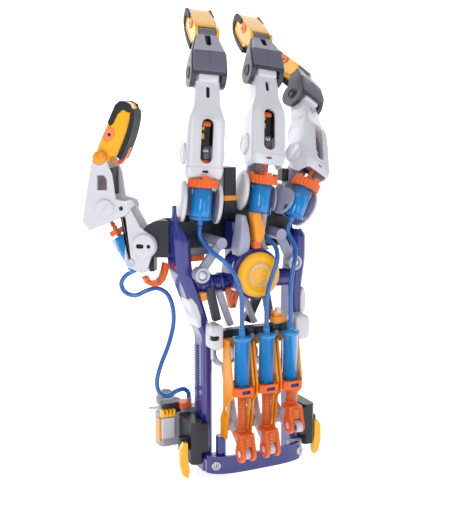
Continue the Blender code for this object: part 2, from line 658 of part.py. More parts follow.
def thumb_shell(joint):
    """The white thumb shell: two side walls joined along the back, open to the palm."""
    outline = [(-25, 37), (-22.4, 45), (-14, 45.4), (-11, 37), (-7.6, 28), (-5, 8), (5.4, 5)]
    outline += arc((0, 0), 7, 30, -90, 5) + [(-6, -10), (-28, -19.5), (-34, -12), (-30.4, 10)]
    solid = plate(outline, "X", -15.8, 15.8)
    inner = [(-32, 32), (-32, 60), (-4, 60), (20, 20), (20, -16), (-6, -16), (-18, -28), (-30, -28)]
    inner += [(-30.6, -12), (-27.6, 10), (-25, 30)]
    hollow = plate(inner, "X", -13.3, 13.3)
    window = plate([(-20.3, 15), (-11.6, 15), (-11.6, 24), (-14, 27.5), (-20.3, 27.5)], "X", -20, 20)
    discs = [bar((s * 15, -13.5, 0), (s * 17, -13.5, 0), 7.6, 18) for s in (-1, 1)]
    axle_hole = bar((-20, 0, 0), (20, 0, 0), 2.0, 12)
    boss_hole = bar((-20, *THUMB_TIP_JOINT), (20, *THUMB_TIP_JOINT), 6.2, 18)
    piece("thumb_proximal", PAINT["white"], [solid] + discs, [hollow, window, axle_hole, boss_hole], joint)


def thumb_control():
    """The thumb's own syringe behind the left rail, with a plunger that the wearer's thumb presses."""
    x, z = -50.0, 20.0
    barrel = turned([(7, 0), (7, 38), (8.4, 38.5), (8.4, 41)], (x, 17, z), (0, 1, 0))
    shroud = block((-80, -58.5), (17, 33), (-2, 28), 3)
    mount = block((-60, -41.6), (RAIL_HALF_DEPTH + GAP + 4.8, 27), (22, 31), 1.5)
    clamp = block((-47.2, -41.6), (RAIL_HALF_DEPTH + GAP, 20), (8, 31), 1)
    nozzle = turned([(2.9, 0), (2.3, 14)], (x, 23, z + 4), (0, 0, 1), 12)
    bore = turned([(5.4, 3), (5.4, 60)], (x, 17, z), (0, 1, 0))
    piece("thumb_control", PAINT["pale"], [shroud, barrel, mount, clamp, nozzle], [bore])
    plunger = pivot("thumb_plunger", None, (x, 78, z))
    parts = [
        turned([(5.0, -34), (5.0, -28)], (0, 0, 0), (0, 1, 0)),
        turned([(3.6, -29), (3.6, 1)], (0, 0, 0), (0, 1, 0), 14),
        turned([(8.5, 0), (9.5, 1.2), (9.5, 4)], (0, 0, 0), (0, 1, 0)),
    ]
    piece("thumb_plunger", PAINT["yellow"], parts, parent=plunger)


# ---------------------------------------------------------------- hoses


HOSE_RADIUS = 2.0
HOSE_POINT_STEP = 9.0


def hose(name, route):
    """A hose read from a smooth curve through its route's own points."""
    points = smooth(route, HOSE_POINT_STEP)
    curve = bpy.data.curves.new(name, "CURVE")
    curve.dimensions = "3D"
    curve.bevel_depth = HOSE_RADIUS * MM
    curve.bevel_resolution = 2
    curve.use_fill_caps = True
    spline = curve.splines.new("POLY")
    spline.points.add(len(points) - 1)
    for target, point in zip(spline.points, points):
        target.co = (*(point * MM), 1)
    curve.materials.append(material(*PAINT["hose"]))
    made = bpy.data.objects.new(name, curve)
    bpy.context.scene.collection.objects.link(made)
    return made


def smooth(route, step):
    """Points about a step apart on a centripetal Catmull-Rom curve through the route."""
    points = [Vector(p) for p in route]
    points = [2 * points[0] - points[1]] + points + [2 * points[-1] - points[-2]]
    found = []
    for i in range(1, len(points) - 2):
        p = points[i - 1 : i + 3]
        t = [0.0]
        for a, b in zip(p, p[1:]):
            t.append(t[-1] + (b - a).length ** 0.5)
        parts = max(1, round((p[2] - p[1]).length / step))
        for k in range(parts):
            u = t[1] + (t[2] - t[1]) * k / parts
            a1 = p[0].lerp(p[1], (u - t[0]) / (t[1] - t[0]))
            a2 = p[1].lerp(p[2], (u - t[1]) / (t[2] - t[1]))
            a3 = p[2].lerp(p[3], (u - t[2]) / (t[3] - t[2]))
            b1 = a1.lerp(a2, (u - t[0]) / (t[2] - t[0]))
            b2 = a2.lerp(a3, (u - t[1]) / (t[3] - t[1]))
            found.append(b1.lerp(b2, (u - t[1]) / (t[2] - t[1])))
    return found + [points[-2]]


def nozzle_exit(name, points=((0, 0, -9 - GAP), (0, 0, -14.9))):
    """Where a cylinder's nozzle ends, and a point straight on from it, both in millimetres."""
    bpy.context.view_layer.update()
    world = bpy.data.objects["pivot_" + name].matrix_world
    return [world @ (Vector(point) * MM) / MM for point in points]


def hoses():
    """A hose from each syringe's nozzle to its finger's cylinder, and the thumb's own."""
    top = BARREL_Z[1] + 6.5 + GAP
    middles = {
        "index": [(-53.9, -14.2, 188.4), (-48.6, -24.5, 178.5), (-41, -34, 170.5), (-34.6, -40, 159.5)],
        "middle": [(1.4, -16, 189), (5.2, -24.5, 184.6), (6.6, -34, 179.6), (4.6, -40.6, 170.6)],
        "ring": [(26, -21, 188.6), (27.8, -30.5, 176.5), (22.4, -37.1, 162), (17.9, -40.4, 148.5)],
    }
    middles["index"].append((-30.6, -42, 147))
    middles["middle"] += [(-0.6, -42.2, 158), (-4.8, -42, 145)]
    for name, middle in middles.items():
        x = SYRINGE_X[name]
        start, after = nozzle_exit("cylinder_" + name)
        hose("hose_" + name, [start, after] + middle + [(x, SYRINGE_Y, top + 12), (x, SYRINGE_Y, top)])
    start, after = nozzle_exit("thumb_cylinder", ((0, -9.8, -6.6), (0, -14.5, -6.6)))
    route = [start, after, (-107.6, 34.8, 146.3), (-105.2, 33.4, 138.6), (-97.2, 29.2, 135.4)]
    route += [(-88.5, 25.4, 139.4), (-79.5, 23, 141.4), (-71, 21.2, 136.4), (-65.6, 21, 123.6)]
    route += [(-65.2, 21, 107.6), (-70, 21, 90), (-77.2, 21, 73), (-81, 21.8, 57.6), (-78.4, 22.6, 46.8)]
    route += [(-70.5, 23, 42.6), (-61.5, 23, 46.2), (-54, 23, 46.6), (-50.3, 23, 42.4), (-50, 23, 38.6)]
    hose("hose_thumb", route)


def main():
    for old in list(bpy.data.objects):
        bpy.data.objects.remove(old)
    rail("rail_left", -1, RAIL_LEFT)
    rail("rail_right", 1, RAIL_RIGHT)
    cuff()
    hub()
    knuckle_beam()
    buckles()
    syringe_bridge()
    for name, (at, lean, yaw, bend, foot, fork_z, lever_angle) in FINGERS.items():
        syringe(name, fork_z, lever_angle)
        finger(name, at, lean, yaw, bend, foot)
    thumb()
    thumb_control()
    hoses()


main()
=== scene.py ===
"""The looks of the hydraulic hand kit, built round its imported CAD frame.

Shapes are written in millimetres, most of them in the frame of the joint that they turn on, and are
scaled to metres where a mesh is made.
"""

import json
import math
from functools import partial

import bmesh
import bpy
from mathutils import Matrix, Vector


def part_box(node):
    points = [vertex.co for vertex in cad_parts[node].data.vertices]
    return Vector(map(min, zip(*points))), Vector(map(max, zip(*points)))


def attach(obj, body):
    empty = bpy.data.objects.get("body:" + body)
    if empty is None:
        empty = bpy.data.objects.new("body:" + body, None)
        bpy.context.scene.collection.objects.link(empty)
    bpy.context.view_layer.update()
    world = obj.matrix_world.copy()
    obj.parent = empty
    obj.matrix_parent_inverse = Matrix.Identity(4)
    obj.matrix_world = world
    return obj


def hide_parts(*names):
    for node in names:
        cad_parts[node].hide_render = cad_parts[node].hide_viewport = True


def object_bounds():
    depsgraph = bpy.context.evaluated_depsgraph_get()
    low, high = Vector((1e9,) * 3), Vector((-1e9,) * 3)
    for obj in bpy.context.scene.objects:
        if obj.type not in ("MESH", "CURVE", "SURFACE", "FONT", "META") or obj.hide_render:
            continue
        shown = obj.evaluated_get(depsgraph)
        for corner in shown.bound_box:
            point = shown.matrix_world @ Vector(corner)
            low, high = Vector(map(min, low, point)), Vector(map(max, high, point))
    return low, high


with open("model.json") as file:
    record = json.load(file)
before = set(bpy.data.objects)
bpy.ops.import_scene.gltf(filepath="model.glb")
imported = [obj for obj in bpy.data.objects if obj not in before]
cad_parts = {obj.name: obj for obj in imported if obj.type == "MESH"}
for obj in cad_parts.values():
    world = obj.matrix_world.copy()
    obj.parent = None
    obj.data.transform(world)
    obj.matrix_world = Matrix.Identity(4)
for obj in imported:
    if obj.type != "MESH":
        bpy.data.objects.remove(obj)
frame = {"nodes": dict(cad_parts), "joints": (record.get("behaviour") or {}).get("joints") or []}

MM = 0.001
CAD_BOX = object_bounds()
JOINTS = {joint["name"]: joint for joint in frame["joints"]}
NAMES = ("index", "middle", "ring")

# The rest posture, as the CAD has it: degrees at the knuckle, middle and tip joints, and the cylinder's foot.
BENDS = {"index": (8, 20, 37), "middle": (20, 20, 25), "ring": (31, 8, 27)}
FEET = {"index": -49, "middle": -54, "ring": -50}
LEVER_ANGLES = {"index": -38.4, "middle": -35.5, "ring": 0.0}
PETALS = {"index": (True, True), "middle": (True, False), "ring": (False, True)}
PROXIMAL = 67.0
MIDDLE = 36.0
TIP_SETBACK = -4.0
CYLINDER_Y = -13.0
THUMB_TIP_BEND = 25.0
THUMB_TRUNNION = (-12.0, -15.0)
THUMB_TIP_JOINT = (-18.0, 42.0)

SYRINGE_X = {"index": -29.2, "middle": -6.0, "ring": 17.2}
SYRINGE_Y = -42.0
BARREL_Z = (58.0, 108.0)
FORK_Y = -50.0
PISTON_REACH = 58.0
EYE_RADIUS = 2.3
HUB = Vector((-9.0, -30.0, 157.0))
NOZZLE = ((0, 0, -9.4), (0, 0, -14.9))
THUMB_NOZZLE = ((0, -9.8, -6.6), (0, -14.5, -6.6))

CAMERA_AZIMUTH = -26.0
CAMERA_ELEVATION = 10.0
CAMERA_DISTANCE = 0.8
CAMERA_LENS = 63.9
CAMERA_TARGET = Vector((-0.018, 0, 0.166))
LIGHT_TARGET = Vector((-0.018, 0, 0.19))
FLOOR_HALF = 6.0
WALL_Y = 3.0
WALL_TOP = 5.0
WORLD_STRENGTH = 0.36


# ---------------------------------------------------------------- materials


def node_of(tree, kind, **values):
    """A shader node with some of its inputs or settings set."""
    made = tree.nodes.new(kind)
    for key, value in values.items():
        if key in made.inputs:
            made.inputs[key].default_value = value
        else:
            setattr(made, key, value)
    return made


def plastic(name, colour, roughness, coat=0.0, vary=0.05, grain=0.02, grain_scale=2400.0, metallic=0.0):
    """Moulded plastic: slow drifts in colour and gloss, and a fine moulded grain."""
    made = bpy.data.materials.new(name)
    made.use_nodes = True
    tree = made.node_tree
    shader = tree.nodes["Principled BSDF"]
    shader.inputs["Metallic"].default_value = metallic
    shader.inputs["Coat Weight"].default_value = coat
    shader.inputs["Coat Roughness"].default_value = 0.08
    place = node_of(tree, "ShaderNodeTexCoord")
    drift = node_of(tree, "ShaderNodeTexNoise", Scale=55.0, Detail=4.0)
    tree.links.new(place.outputs["Object"], drift.inputs["Vector"])
    shade = node_of(tree, "ShaderNodeValToRGB")
    shade.color_ramp.elements[0].position = 0.3
    shade.color_ramp.elements[0].color = (*[c * (1 - vary) for c in colour], 1)
    shade.color_ramp.elements[1].position = 0.7
    shade.color_ramp.elements[1].color = (*[min(1, c * (1 + vary)) for c in colour], 1)
    tree.links.new(drift.outputs["Fac"], shade.inputs["Fac"])
    tree.links.new(shade.outputs["Color"], shader.inputs["Base Color"])
    dull = node_of(tree, "ShaderNodeMapRange")
    dull.inputs["To Min"].default_value = max(0.02, roughness - 0.05)
    dull.inputs["To Max"].default_value = roughness + 0.07
    tree.links.new(drift.outputs["Fac"], dull.inputs["Value"])
    tree.links.new(dull.outputs["Result"], shader.inputs["Roughness"])
    fine = node_of(tree, "ShaderNodeTexNoise", Scale=grain_scale, Detail=2.0)
    tree.links.new(place.outputs["Object"], fine.inputs["Vector"])
    bump = node_of(tree, "ShaderNodeBump", Strength=grain, Distance=0.0004)
    tree.links.new(fine.outputs["Fac"], bump.inputs["Height"])
    tree.links.new(bump.outputs["Normal"], shader.inputs["Normal"])
    return made


def clear(name, colour, transmission, roughness=0.04):
    """Tinted clear plastic, with the faint waves of a moulded wall."""
    made = bpy.data.materials.new(name)
    made.use_nodes = True
    tree = made.node_tree
    shader = tree.nodes["Principled BSDF"]
    shader.inputs["Transmission Weight"].default_value = transmission
    shader.inputs["IOR"].default_value = 1.47
    shader.inputs["Coat Weight"].default_value = 0.6
    shader.inputs["Coat Roughness"].default_value = 0.03
    place = node_of(tree, "ShaderNodeTexCoord")
    wave = node_of(tree, "ShaderNodeTexNoise", Scale=90.0, Detail=2.0)
    tree.links.new(place.outputs["Object"], wave.inputs["Vector"])
    shade = node_of(tree, "ShaderNodeValToRGB")
    shade.color_ramp.elements[0].color = (*[c * 0.9 for c in colour], 1)
    shade.color_ramp.elements[1].color = (*[min(1, c * 1.1) for c in colour], 1)
    tree.links.new(wave.outputs["Fac"], shade.inputs["Fac"])
    tree.links.new(shade.outputs["Color"], shader.inputs["Base Color"])
    bump = node_of(tree, "ShaderNodeBump", Strength=0.05, Distance=0.0005)
    tree.links.new(wave.outputs["Fac"], bump.inputs["Height"])
    tree.links.new(bump.outputs["Normal"], shader.inputs["Normal"])
    shader.inputs["Roughness"].default_value = roughness
    return made


PAINT = {
    "navy": (plastic("navy_gloss", (0.014, 0.022, 0.22), 0.20, coat=0.8), "navy_plastic"),
    "dark": (plastic("near_black", (0.012, 0.015, 0.026), 0.34, vary=0.1, grain=0.05), "dark_plastic"),
    "slate": (plastic("dark_slate", (0.040, 0.042, 0.062), 0.30, grain=0.04), "grey_plastic"),
    "grey": (plastic("slate_grey", (0.135, 0.135, 0.185), 0.30, grain=0.04), "grey_plastic"),
    "grey_light": (plastic("light_slate", (0.36, 0.36, 0.44), 0.32, grain=0.04), "grey_plastic"),
    "pale": (plastic("pale_grey", (0.55, 0.55, 0.65), 0.30), "pale_plastic"),
    "mist": (plastic("mist_grey", (0.36, 0.37, 0.50), 0.30), "pale_plastic"),
    "white": (plastic("shell_white", (0.66, 0.66, 0.72), 0.22, coat=0.35, vary=0.02), "white_plastic"),
    "yellow": (plastic("yellow_gloss", (0.96, 0.47, 0.004), 0.24, coat=0.3, vary=0.03), "yellow_plastic"),
    "amber": (plastic("amber_gloss", (0.90, 0.31, 0.004), 0.26, coat=0.2, vary=0.04), "yellow_plastic"),
    "orange": (plastic("orange_satin", (0.80, 0.125, 0.010), 0.30), "orange_plastic"),
    "copper": (plastic("copper_orange", (0.70, 0.15, 0.03), 0.34, grain=0.06), "orange_plastic"),
    "salmon": (plastic("salmon_orange", (0.86, 0.25, 0.10), 0.36), "orange_plastic"),
    "rubber": (plastic("black_rubber", (0.007, 0.010, 0.013), 0.58, vary=0.15, grain=0.25), "black_rubber"),
    # black: the black link, and the black fill painted as the shade in recesses, holes, slots and behind
    # windows
    "black": (plastic("black_and_painted_shade", (0.003, 0.003, 0.004), 0.5), "dark_plastic"),
    "steel": (plastic("screw_steel", (0.60, 0.61, 0.66), 0.26, metallic=0.8), "pale_plastic"),
    "deep": (plastic("piston_blue", (0.004, 0.045, 0.22), 0.30), "blue_clear_plastic"),
    "tube": (clear("clear_blue", (0.001, 0.33, 0.86), 0.30), "blue_clear_plastic"),
    "fluid": (clear("blue_fluid", (0.0, 0.22, 0.70), 0.2, 0.1), "blue_clear_plastic"),
    "hose": (plastic("hose_blue", (0.002, 0.115, 0.45), 0.18, coat=0.7, vary=0.06), "blue_hose"),
}


# ---------------------------------------------------------------- shapes, each a bmesh in millimetres


def loft(rings):
    """A closed solid through rings that have the same number of points."""
    shape = bmesh.new()
    rows = [[shape.verts.new(point) for point in ring] for ring in rings]
    count = len(rows[0])
    for low, high in zip(rows, rows[1:]):
        for i in range(count):
            j = (i + 1) % count
            shape.faces.new((low[i], low[j], high[j], high[i]))
    shape.faces.new(list(reversed(rows[0])))
    shape.faces.new(rows[-1])
    bmesh.ops.recalc_face_normals(shape, faces=shape.faces)
    return shape


def cut_corners(z, x0, x1, y0, y1, c):
    """A rectangle with cut corners, at height z."""
    flat = [(x0 + c, y0), (x1 - c, y0), (x1, y0 + c), (x1, y1 - c)]
    flat += [(x1 - c, y1), (x0 + c, y1), (x0, y1 - c), (x0, y0 + c)]
    return [(x, y, z) for x, y in flat]


def round_corners(z, x0, x1, y0, y1, r, steps=5):
    """A rectangle with round corners, at height z."""
    flat = arc((x1 - r, y0 + r), r, -90, 0, steps) + arc((x1 - r, y1 - r), r, 0, 90, steps)
    flat += arc((x0 + r, y1 - r), r, 90, 180, steps) + arc((x0 + r, y0 + r), r, 180, 270, steps)
    return [(x, y, z) for x, y in flat]


def block(x, y, z, chamfer=0.0):
    if chamfer:
        return loft([cut_corners(h, *x, *y, chamfer) for h in z])
    corners = [(x[0], y[0]), (x[1], y[0]), (x[1], y[1]), (x[0], y[1])]
    return loft([[(a, b, h) for a, b in corners] for h in z])


def plate(outline, axis, low, high):
    """An outline extruded along X, Y or Z. The outline's pairs are (y, z), (x, z) or (x, y)."""
    if axis == "X":
        rings = [[(level, a, b) for a, b in outline] for level in (low, high)]
    elif axis == "Y":
        rings = [[(a, level, b) for a, b in outline] for level in (low, high)]
    else:
        rings = [[(a, b, level) for a, b in outline] for level in (low, high)]
    return loft(rings)


def arc(centre, radius, start, end, steps):
    turn = [math.radians(start + (end - start) * i / steps) for i in range(steps + 1)]
    return [(centre[0] + radius * math.cos(a), centre[1] + radius * math.sin(a)) for a in turn]


def turned(profile, base, direction, sides=40):
    """A round solid: the profile's pairs are (radius, distance along direction from base)."""
    axis = Vector(direction).normalized()
    across = axis.orthogonal().normalized()
    third = axis.cross(across)
    rings = []
    for radius, along in profile:
        turn = [2 * math.pi * i / sides for i in range(sides)]
        centre = Vector(base) + axis * along
        rings.append([centre + (across * math.cos(a) + third * math.sin(a)) * radius for a in turn])
    return loft(rings)


def hollow(profile, base, direction, sides=40):
    """A round solid whose profile closes on itself, such as a tube's wall or a ring."""
    shape = turned(profile + profile[:1], base, direction, sides)
    bmesh.ops.delete(shape, geom=[f for f in shape.faces if len(f.verts) == sides], context="FACES_ONLY")
    bmesh.ops.remove_doubles(shape, verts=shape.verts, dist=1e-4)
    bmesh.ops.recalc_face_normals(shape, faces=shape.faces)
    return shape


def bar(start, end, radius, sides=32):
    span = Vector(end) - Vector(start)
    return turned([(radius, 0), (radius, span.length)], start, span, sides)


def sides_of(side, near, far):
    return tuple(sorted((side * near, side * far)))


def eased(stations, step=2.0):
    """Stations about a step apart, on a smooth curve through the given ones. Each starts with its height."""
    rows = [stations[0]] + list(stations) + [stations[-1]]
    found = []
    for i in range(1, len(rows) - 2):
        before, low, high, after = rows[i - 1 : i + 3]
        span = high[0] - low[0]
        parts = max(1, round(span / step))
        for k in range(parts):
            t = k / parts
            row = [low[0] + span * t]
            for a, b, c, d in zip(before[1:], low[1:], high[1:], after[1:]):
                start = slope(before[0], a, low[0], b, high[0], c) * span
                end = slope(low[0], b, high[0], c, after[0], d) * span
                t2, t3 = t * t, t * t * t
                value = b * (2 * t3 - 3 * t2 + 1) + c * (3 * t2 - 2 * t3)
                row.append(value + start * (t3 - 2 * t2 + t) + end * (t3 - t2))
            found.append(row)
    return found + [list(stations[-1])]


def slope(z0, a, z1, b, z2, c):
    """The slope at b, flat where the values turn, so that a smooth curve doesn't overshoot."""
    first = (b - a) / (z1 - z0) if z1 > z0 else 0.0
    second = (c - b) / (z2 - z1) if z2 > z1 else 0.0
    if first * second <= 0:
        return 0.0
    return 2 * first * second / (first + second)


# ---------------------------------------------------------------- pieces


def temporary(shape):
    mesh = bpy.data.meshes.new("temporary")
    shape.to_mesh(mesh)
    shape.free()
    helper = bpy.data.objects.new("temporary", mesh)
    bpy.context.scene.collection.objects.link(helper)
    return helper


def together(shapes):
    """Shapes side by side in one mesh, not joined."""
    whole = bmesh.new()
    for shape in shapes:
        mesh = bpy.data.meshes.new("temporary")
        shape.to_mesh(mesh)
        shape.free()
        whole.from_mesh(mesh)
        bpy.data.meshes.remove(mesh)
    return whole


def carved(add, cut):
    """A mesh of the first shape joined with the others, less the cutters."""
    base = temporary(add[0])
    helpers = [(temporary(s), "UNION") for s in add[1:]] + [(temporary(s), "DIFFERENCE") for s in cut]
    for helper, operation in helpers:
        modifier = base.modifiers.new(operation, "BOOLEAN")
        modifier.operation = operation
        modifier.object = helper
        modifier.solver = "EXACT"
    graph = bpy.context.evaluated_depsgraph_get()
    mesh = bpy.data.meshes.new_from_object(base.evaluated_get(graph))
    for helper in [base] + [h for h, _ in helpers]:
        old = helper.data
        bpy.data.objects.remove(helper)
        bpy.data.meshes.remove(old)
    return mesh


def soften(thing, width, segments=2, angle=28):
    """Smooth shading, with the edges that are sharper than an angle rounded off."""
    for polygon in thing.data.polygons:
        polygon.use_smooth = True
    if width:
        bevel = thing.modifiers.new("edges", "BEVEL")
        bevel.width = width * MM
        bevel.segments = segments
        bevel.limit_method = "ANGLE"
        bevel.angle_limit = math.radians(angle)
        bevel.use_clamp_overlap = True
        bevel.harden_normals = True
        bevel.miter_outer = "MITER_ARC"


def piece(
    name, paint, shapes, cut=(), body="frame", place=None, edge=0.4, segments=2, stands_for=(), angle=28
):
    """One visible piece, laid out in a joint's frame and riding on a CAD body."""
    if cut:
        mesh = carved(shapes, cut)
    else:
        whole = together(shapes)
        mesh = bpy.data.meshes.new(name)
        whole.to_mesh(mesh)
        whole.free()
    if place is not None:
        mesh.transform(place)
    mesh.transform(Matrix.Scale(MM, 4))
    mesh.name = name
    mesh.materials.clear()
    material, slot = PAINT[paint]
    mesh.materials.append(material)
    if cut:
        mesh.set_sharp_from_angle(angle=math.radians(max(angle, 30)))
    made = bpy.data.objects.new(name, mesh)
    bpy.context.scene.collection.objects.link(made)
    soften(made, edge, segments, angle)
    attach(made, body)
    if stands_for:
        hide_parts(*stands_for)
    return made


def refine(node, paint, edge=0.5, segments=2, angle=28):
    """A CAD node that stays: its own mesh, with rounded edges and a real finish."""
    thing = frame["nodes"][node]
    for name in [a.name for a in thing.data.attributes if a.name == "custom_normal"]:
        thing.data.attributes.remove(thing.data.attributes[name])
    weld = thing.modifiers.new("weld", "WELD")
    weld.merge_threshold = 0.000004
    flat = thing.modifiers.new("flat", "DECIMATE")
    flat.decimate_type = "DISSOLVE"
    flat.angle_limit = math.radians(1.0)
    soften(thing, edge, segments, angle)
    material, _ = PAINT[paint]
    thing.data.materials.clear()
    thing.data.materials.append(material)
    return thing


# ---------------------------------------------------------------- the frames that the pieces are laid out in


def axes(origin, x, z):
    """A frame in millimetres with its x and z directions."""
    x = Vector(x).normalized()
    z = (Vector(z) - x * x.dot(Vector(z))).normalized()
    y = z.cross(x)
    made = Matrix((x, y, z)).transposed().to_4x4()
    made.translation = Vector(origin)
    return made


def joint_place(name):
    return Vector(JOINTS[name]["pos_m"]) / MM


def joint_axis(name):
    return Vector(JOINTS[name]["axis"])


def turned_about_x(place, degrees, at=(0, 0, 0)):
    return place @ Matrix.Translation(Vector(at)) @ Matrix.Rotation(math.radians(degrees), 4, "X")


def finger_frames(name):
    """The frames of one finger: its bracket, its three phalanges and its cylinder."""
    knuckle = joint_place("knuckle_" + name)
    middle = joint_place("middle_joint_" + name)
    x = -joint_axis("knuckle_" + name)
    bend = BENDS[name]
    proximal = axes(knuckle, x, middle - knuckle)
    base = turned_about_x(proximal, bend[0])
    second = turned_about_x(proximal, -bend[1], (0, 0, PROXIMAL))
    tip = turned_about_x(second, -bend[2], (0, TIP_SETBACK, MIDDLE))
    foot = base @ Vector((0, CYLINDER_Y, FEET[name]))
    cylinder = axes(foot, x, joint_axis("rod_slide_" + name))
    return {"base": base, "proximal": proximal, "middle": second, "tip": tip, "cylinder": cylinder}


def thumb_frames():
    x = -joint_axis("thumb_swing")
    base = axes(joint_place("thumb_swing"), x, (0, 0, 1))
    shell = axes(joint_place("thumb_knuckle"), x, (0, 0, 1))
    tip = turned_about_x(shell, -THUMB_TIP_BEND, (0, *THUMB_TIP_JOINT))
    foot = base @ Vector((0, *THUMB_TRUNNION))
    cylinder = axes(foot, x, joint_axis("thumb_rod_slide"))
    return {"base": base, "proximal": shell, "tip": tip, "cylinder": cylinder}


FINGERS = {name: finger_frames(name) for name in NAMES}
THUMB = thumb_frames()


# ---------------------------------------------------------------- small fittings


def screw(name, body, at, direction, radius=4.4, place=None, paint="steel"):
    """A countersunk screw's head in a raised washer, with a black dot painted as the shade in its cross
    recess.
    """
    axis = Vector(direction).normalized()
    ring = [
        (radius, 0), (radius, 1.0), (radius - 0.5, 1.5), (radius * 0.66, 1.5), (radius * 0.6, 0.7),
        (radius * 0.6, 0)
    ]
    head = [(radius * 0.56, 0), (radius * 0.56, 0.9), (radius * 0.4, 1.25), (0.1, 1.35)]
    shapes = [hollow(ring, at, axis, 32), turned(head, at, axis, 24)]
    piece(name, paint, shapes, body=body, place=place, edge=0.0)
    # A black dot painted as the shade in the cross recess.
    dot = turned([(radius * 0.2, 1.0), (radius * 0.2, 1.5)], at, axis, 6)
    piece(name + "_recess_shade", "black", [dot], body=body, place=place, edge=0.0)


def slotted_disc(name, paint, body, at, side, radius, place, thick=1.2, angle=20):
    """A round screw cover on an X face, with a slot across it."""
    x = at[0]
    start, end = x, x + side * thick
    profile = [(radius, 0), (radius, thick * 0.6), (radius - 0.6, thick), (0.2, thick + 0.15)]
    disc = turned(profile, (start, at[1], at[2]), (side, 0, 0), 40)
    slot = block((-0.7, 0.7), (-radius * 0.85, radius * 0.85), (-0.6, 0.6))
    slot.transform(
        Matrix.Translation((end + side * 0.3, at[1], at[2])) @ Matrix.Rotation(math.radians(angle), 4, "X")
    )
    piece(name, paint, [disc], [slot], body=body, place=place, edge=0.15)


def ribbed_ring(radius, inner, low, high, count, depth=0.7):
    """A ring with rounded ribs round its outside."""
    steps = count * 6
    rings = []
    for z, grow in ((low, -0.5), (low + 0.5, 0), (high - 0.5, 0), (high, -0.5)):
        ring = []
        for i in range(steps):
            a = 2 * math.pi * i / steps
            r = radius + grow - depth * (0.5 + 0.5 * math.cos(a * count)) ** 3
            ring.append((r * math.cos(a), r * math.sin(a), z))
        rings.append(ring)
    solid = loft(rings)
    hole = turned([(inner, low - 3), (inner, high + 3)], (0, 0, 0), (0, 0, 1), 48)
    return solid, hole


# ---------------------------------------------------------------- fingers


def cylinder_pieces(name, place, body, rod_body, node, rod_node, reach, collar=12.6):
    """The clear cylinder, its foot and nozzle, the ribbed orange collar, and the rod with its piston."""
    add = partial(piece, body=body, place=place)
    wall = [(7.3, 24.8), (8.6, 24.8), (8.6, -2.6), (8.0, -4.4), (6.2, -5), (6.2, -3.4), (7.3, -1.6)]
    tube = hollow(wall, (0, 0, 0), (0, 0, 1), 48)
    add("tube_" + name, "tube", [tube], edge=0.0, stands_for=[node])
    foot = [
        turned([(6.1, -5), (6.1, -1.8), (4.4, -1.2)], (0, 0, 0), (0, 0, 1)),
        hollow([(8.7, -4.2), (9.6, -3.9), (9.6, -1.9), (8.7, -1.6)], (0, 0, 0), (0, 0, 1)),
        turned(
            [(2.6, -4.6), (2.6, -5.4), (2.3, -5.8), (2.6, -6.4), (2.3, -7), (2.6, -7.6), (2.2, -9)],
            (0, 0, 0), (0, 0, 1)
        ),
    ]
    if name == "thumb":
        foot.append(
            turned([(2.2, 2), (2.2, 6), (2.6, 6.6), (2.2, 7.2), (2.2, 9.6)], (0, 0, -6.6), (0, -1, 0))
        )
    add("foot_" + name, "fluid", foot, edge=0.0)
    solid, hole = ribbed_ring(collar, 8.75, 22.6, 30, 22)
    lugs = [block((-3.2, 3.2), sides_of(s, 9.2, collar - 0.2), (27, 32.6), 0.8) for s in (-1, 1)]
    lugs += [block(sides_of(s, 9.2, collar - 0.2), (-3.2, 3.2), (27, 31.6), 0.8) for s in (-1, 1)]
    add("collar_" + name, "orange", [solid] + lugs, [hole], edge=0.35)
    stem = [(1.7, 8), (1.7, reach - 2)]
    ribs = [
        turned([(1.7, z), (2.5, z + 0.5), (2.5, z + 1.2), (1.7, z + 1.7)], (0, 0, 0), (0, 0, 1), 20)
        for z in stem_steps(reach)
    ]
    eye = [bar((-4.3, 0, reach), (4.3, 0, reach), EYE_RADIUS, 24)]
    piece(
        "rod_detail_" + name, "copper", [turned(stem, (0, 0, 0), (0, 0, 1), 20)] + ribs + eye,
        body=rod_body, place=place, edge=0.2, stands_for=[rod_node]
    )
    head = [(5.9, 6.2), (6.3, 6.8), (6.3, 8.2), (5.7, 8.6), (5.7, 9.6), (6.3, 10), (6.3, 11.4), (5.9, 12)]
    piece(
        "piston_" + name, "deep", [turned([(r, z) for r, z in head], (0, 0, 0), (0, 0, 1))], body=rod_body,
        place=place, edge=0.0
    )


def stem_steps(reach):
    count = int((reach - 16) / 3.2)
    return [13 + 3.2 * i for i in range(max(0, count))]


def rod_reach(name, place):
    """How far along its cylinder a rod's eye is, from the CAD rod's own mesh."""
    inverse = place.inverted()
    vertices = [inverse @ (v.co / MM) for v in frame["nodes"][name].data.vertices]
    return max(v.z for v in vertices) - EYE_RADIUS


def finger(name):
    at = FINGERS[name]
    bracket(name, at["base"])
    reach = rod_reach("rod_" + name, at["cylinder"])
    cylinder_pieces(name, at["cylinder"], "frame", "rod_" + name, "cylinder_" + name, "rod_" + name, reach)
    proximal(name, at["proximal"])
    middle(name, at["middle"])
    fingertip(name, at["tip"], "tip_" + name, ["tip_" + name], ["pad_" + name])


# A knuckle petal's dome: distance out from the middle, share of its full size
PETAL_DOME = (
    (13.6, 0.93), (14.2, 0.985), (15.0, 1.0), (16.0, 0.985), (16.9, 0.93), (17.5, 0.84), (17.9, 0.7),
    (18.1, 0.45)
)


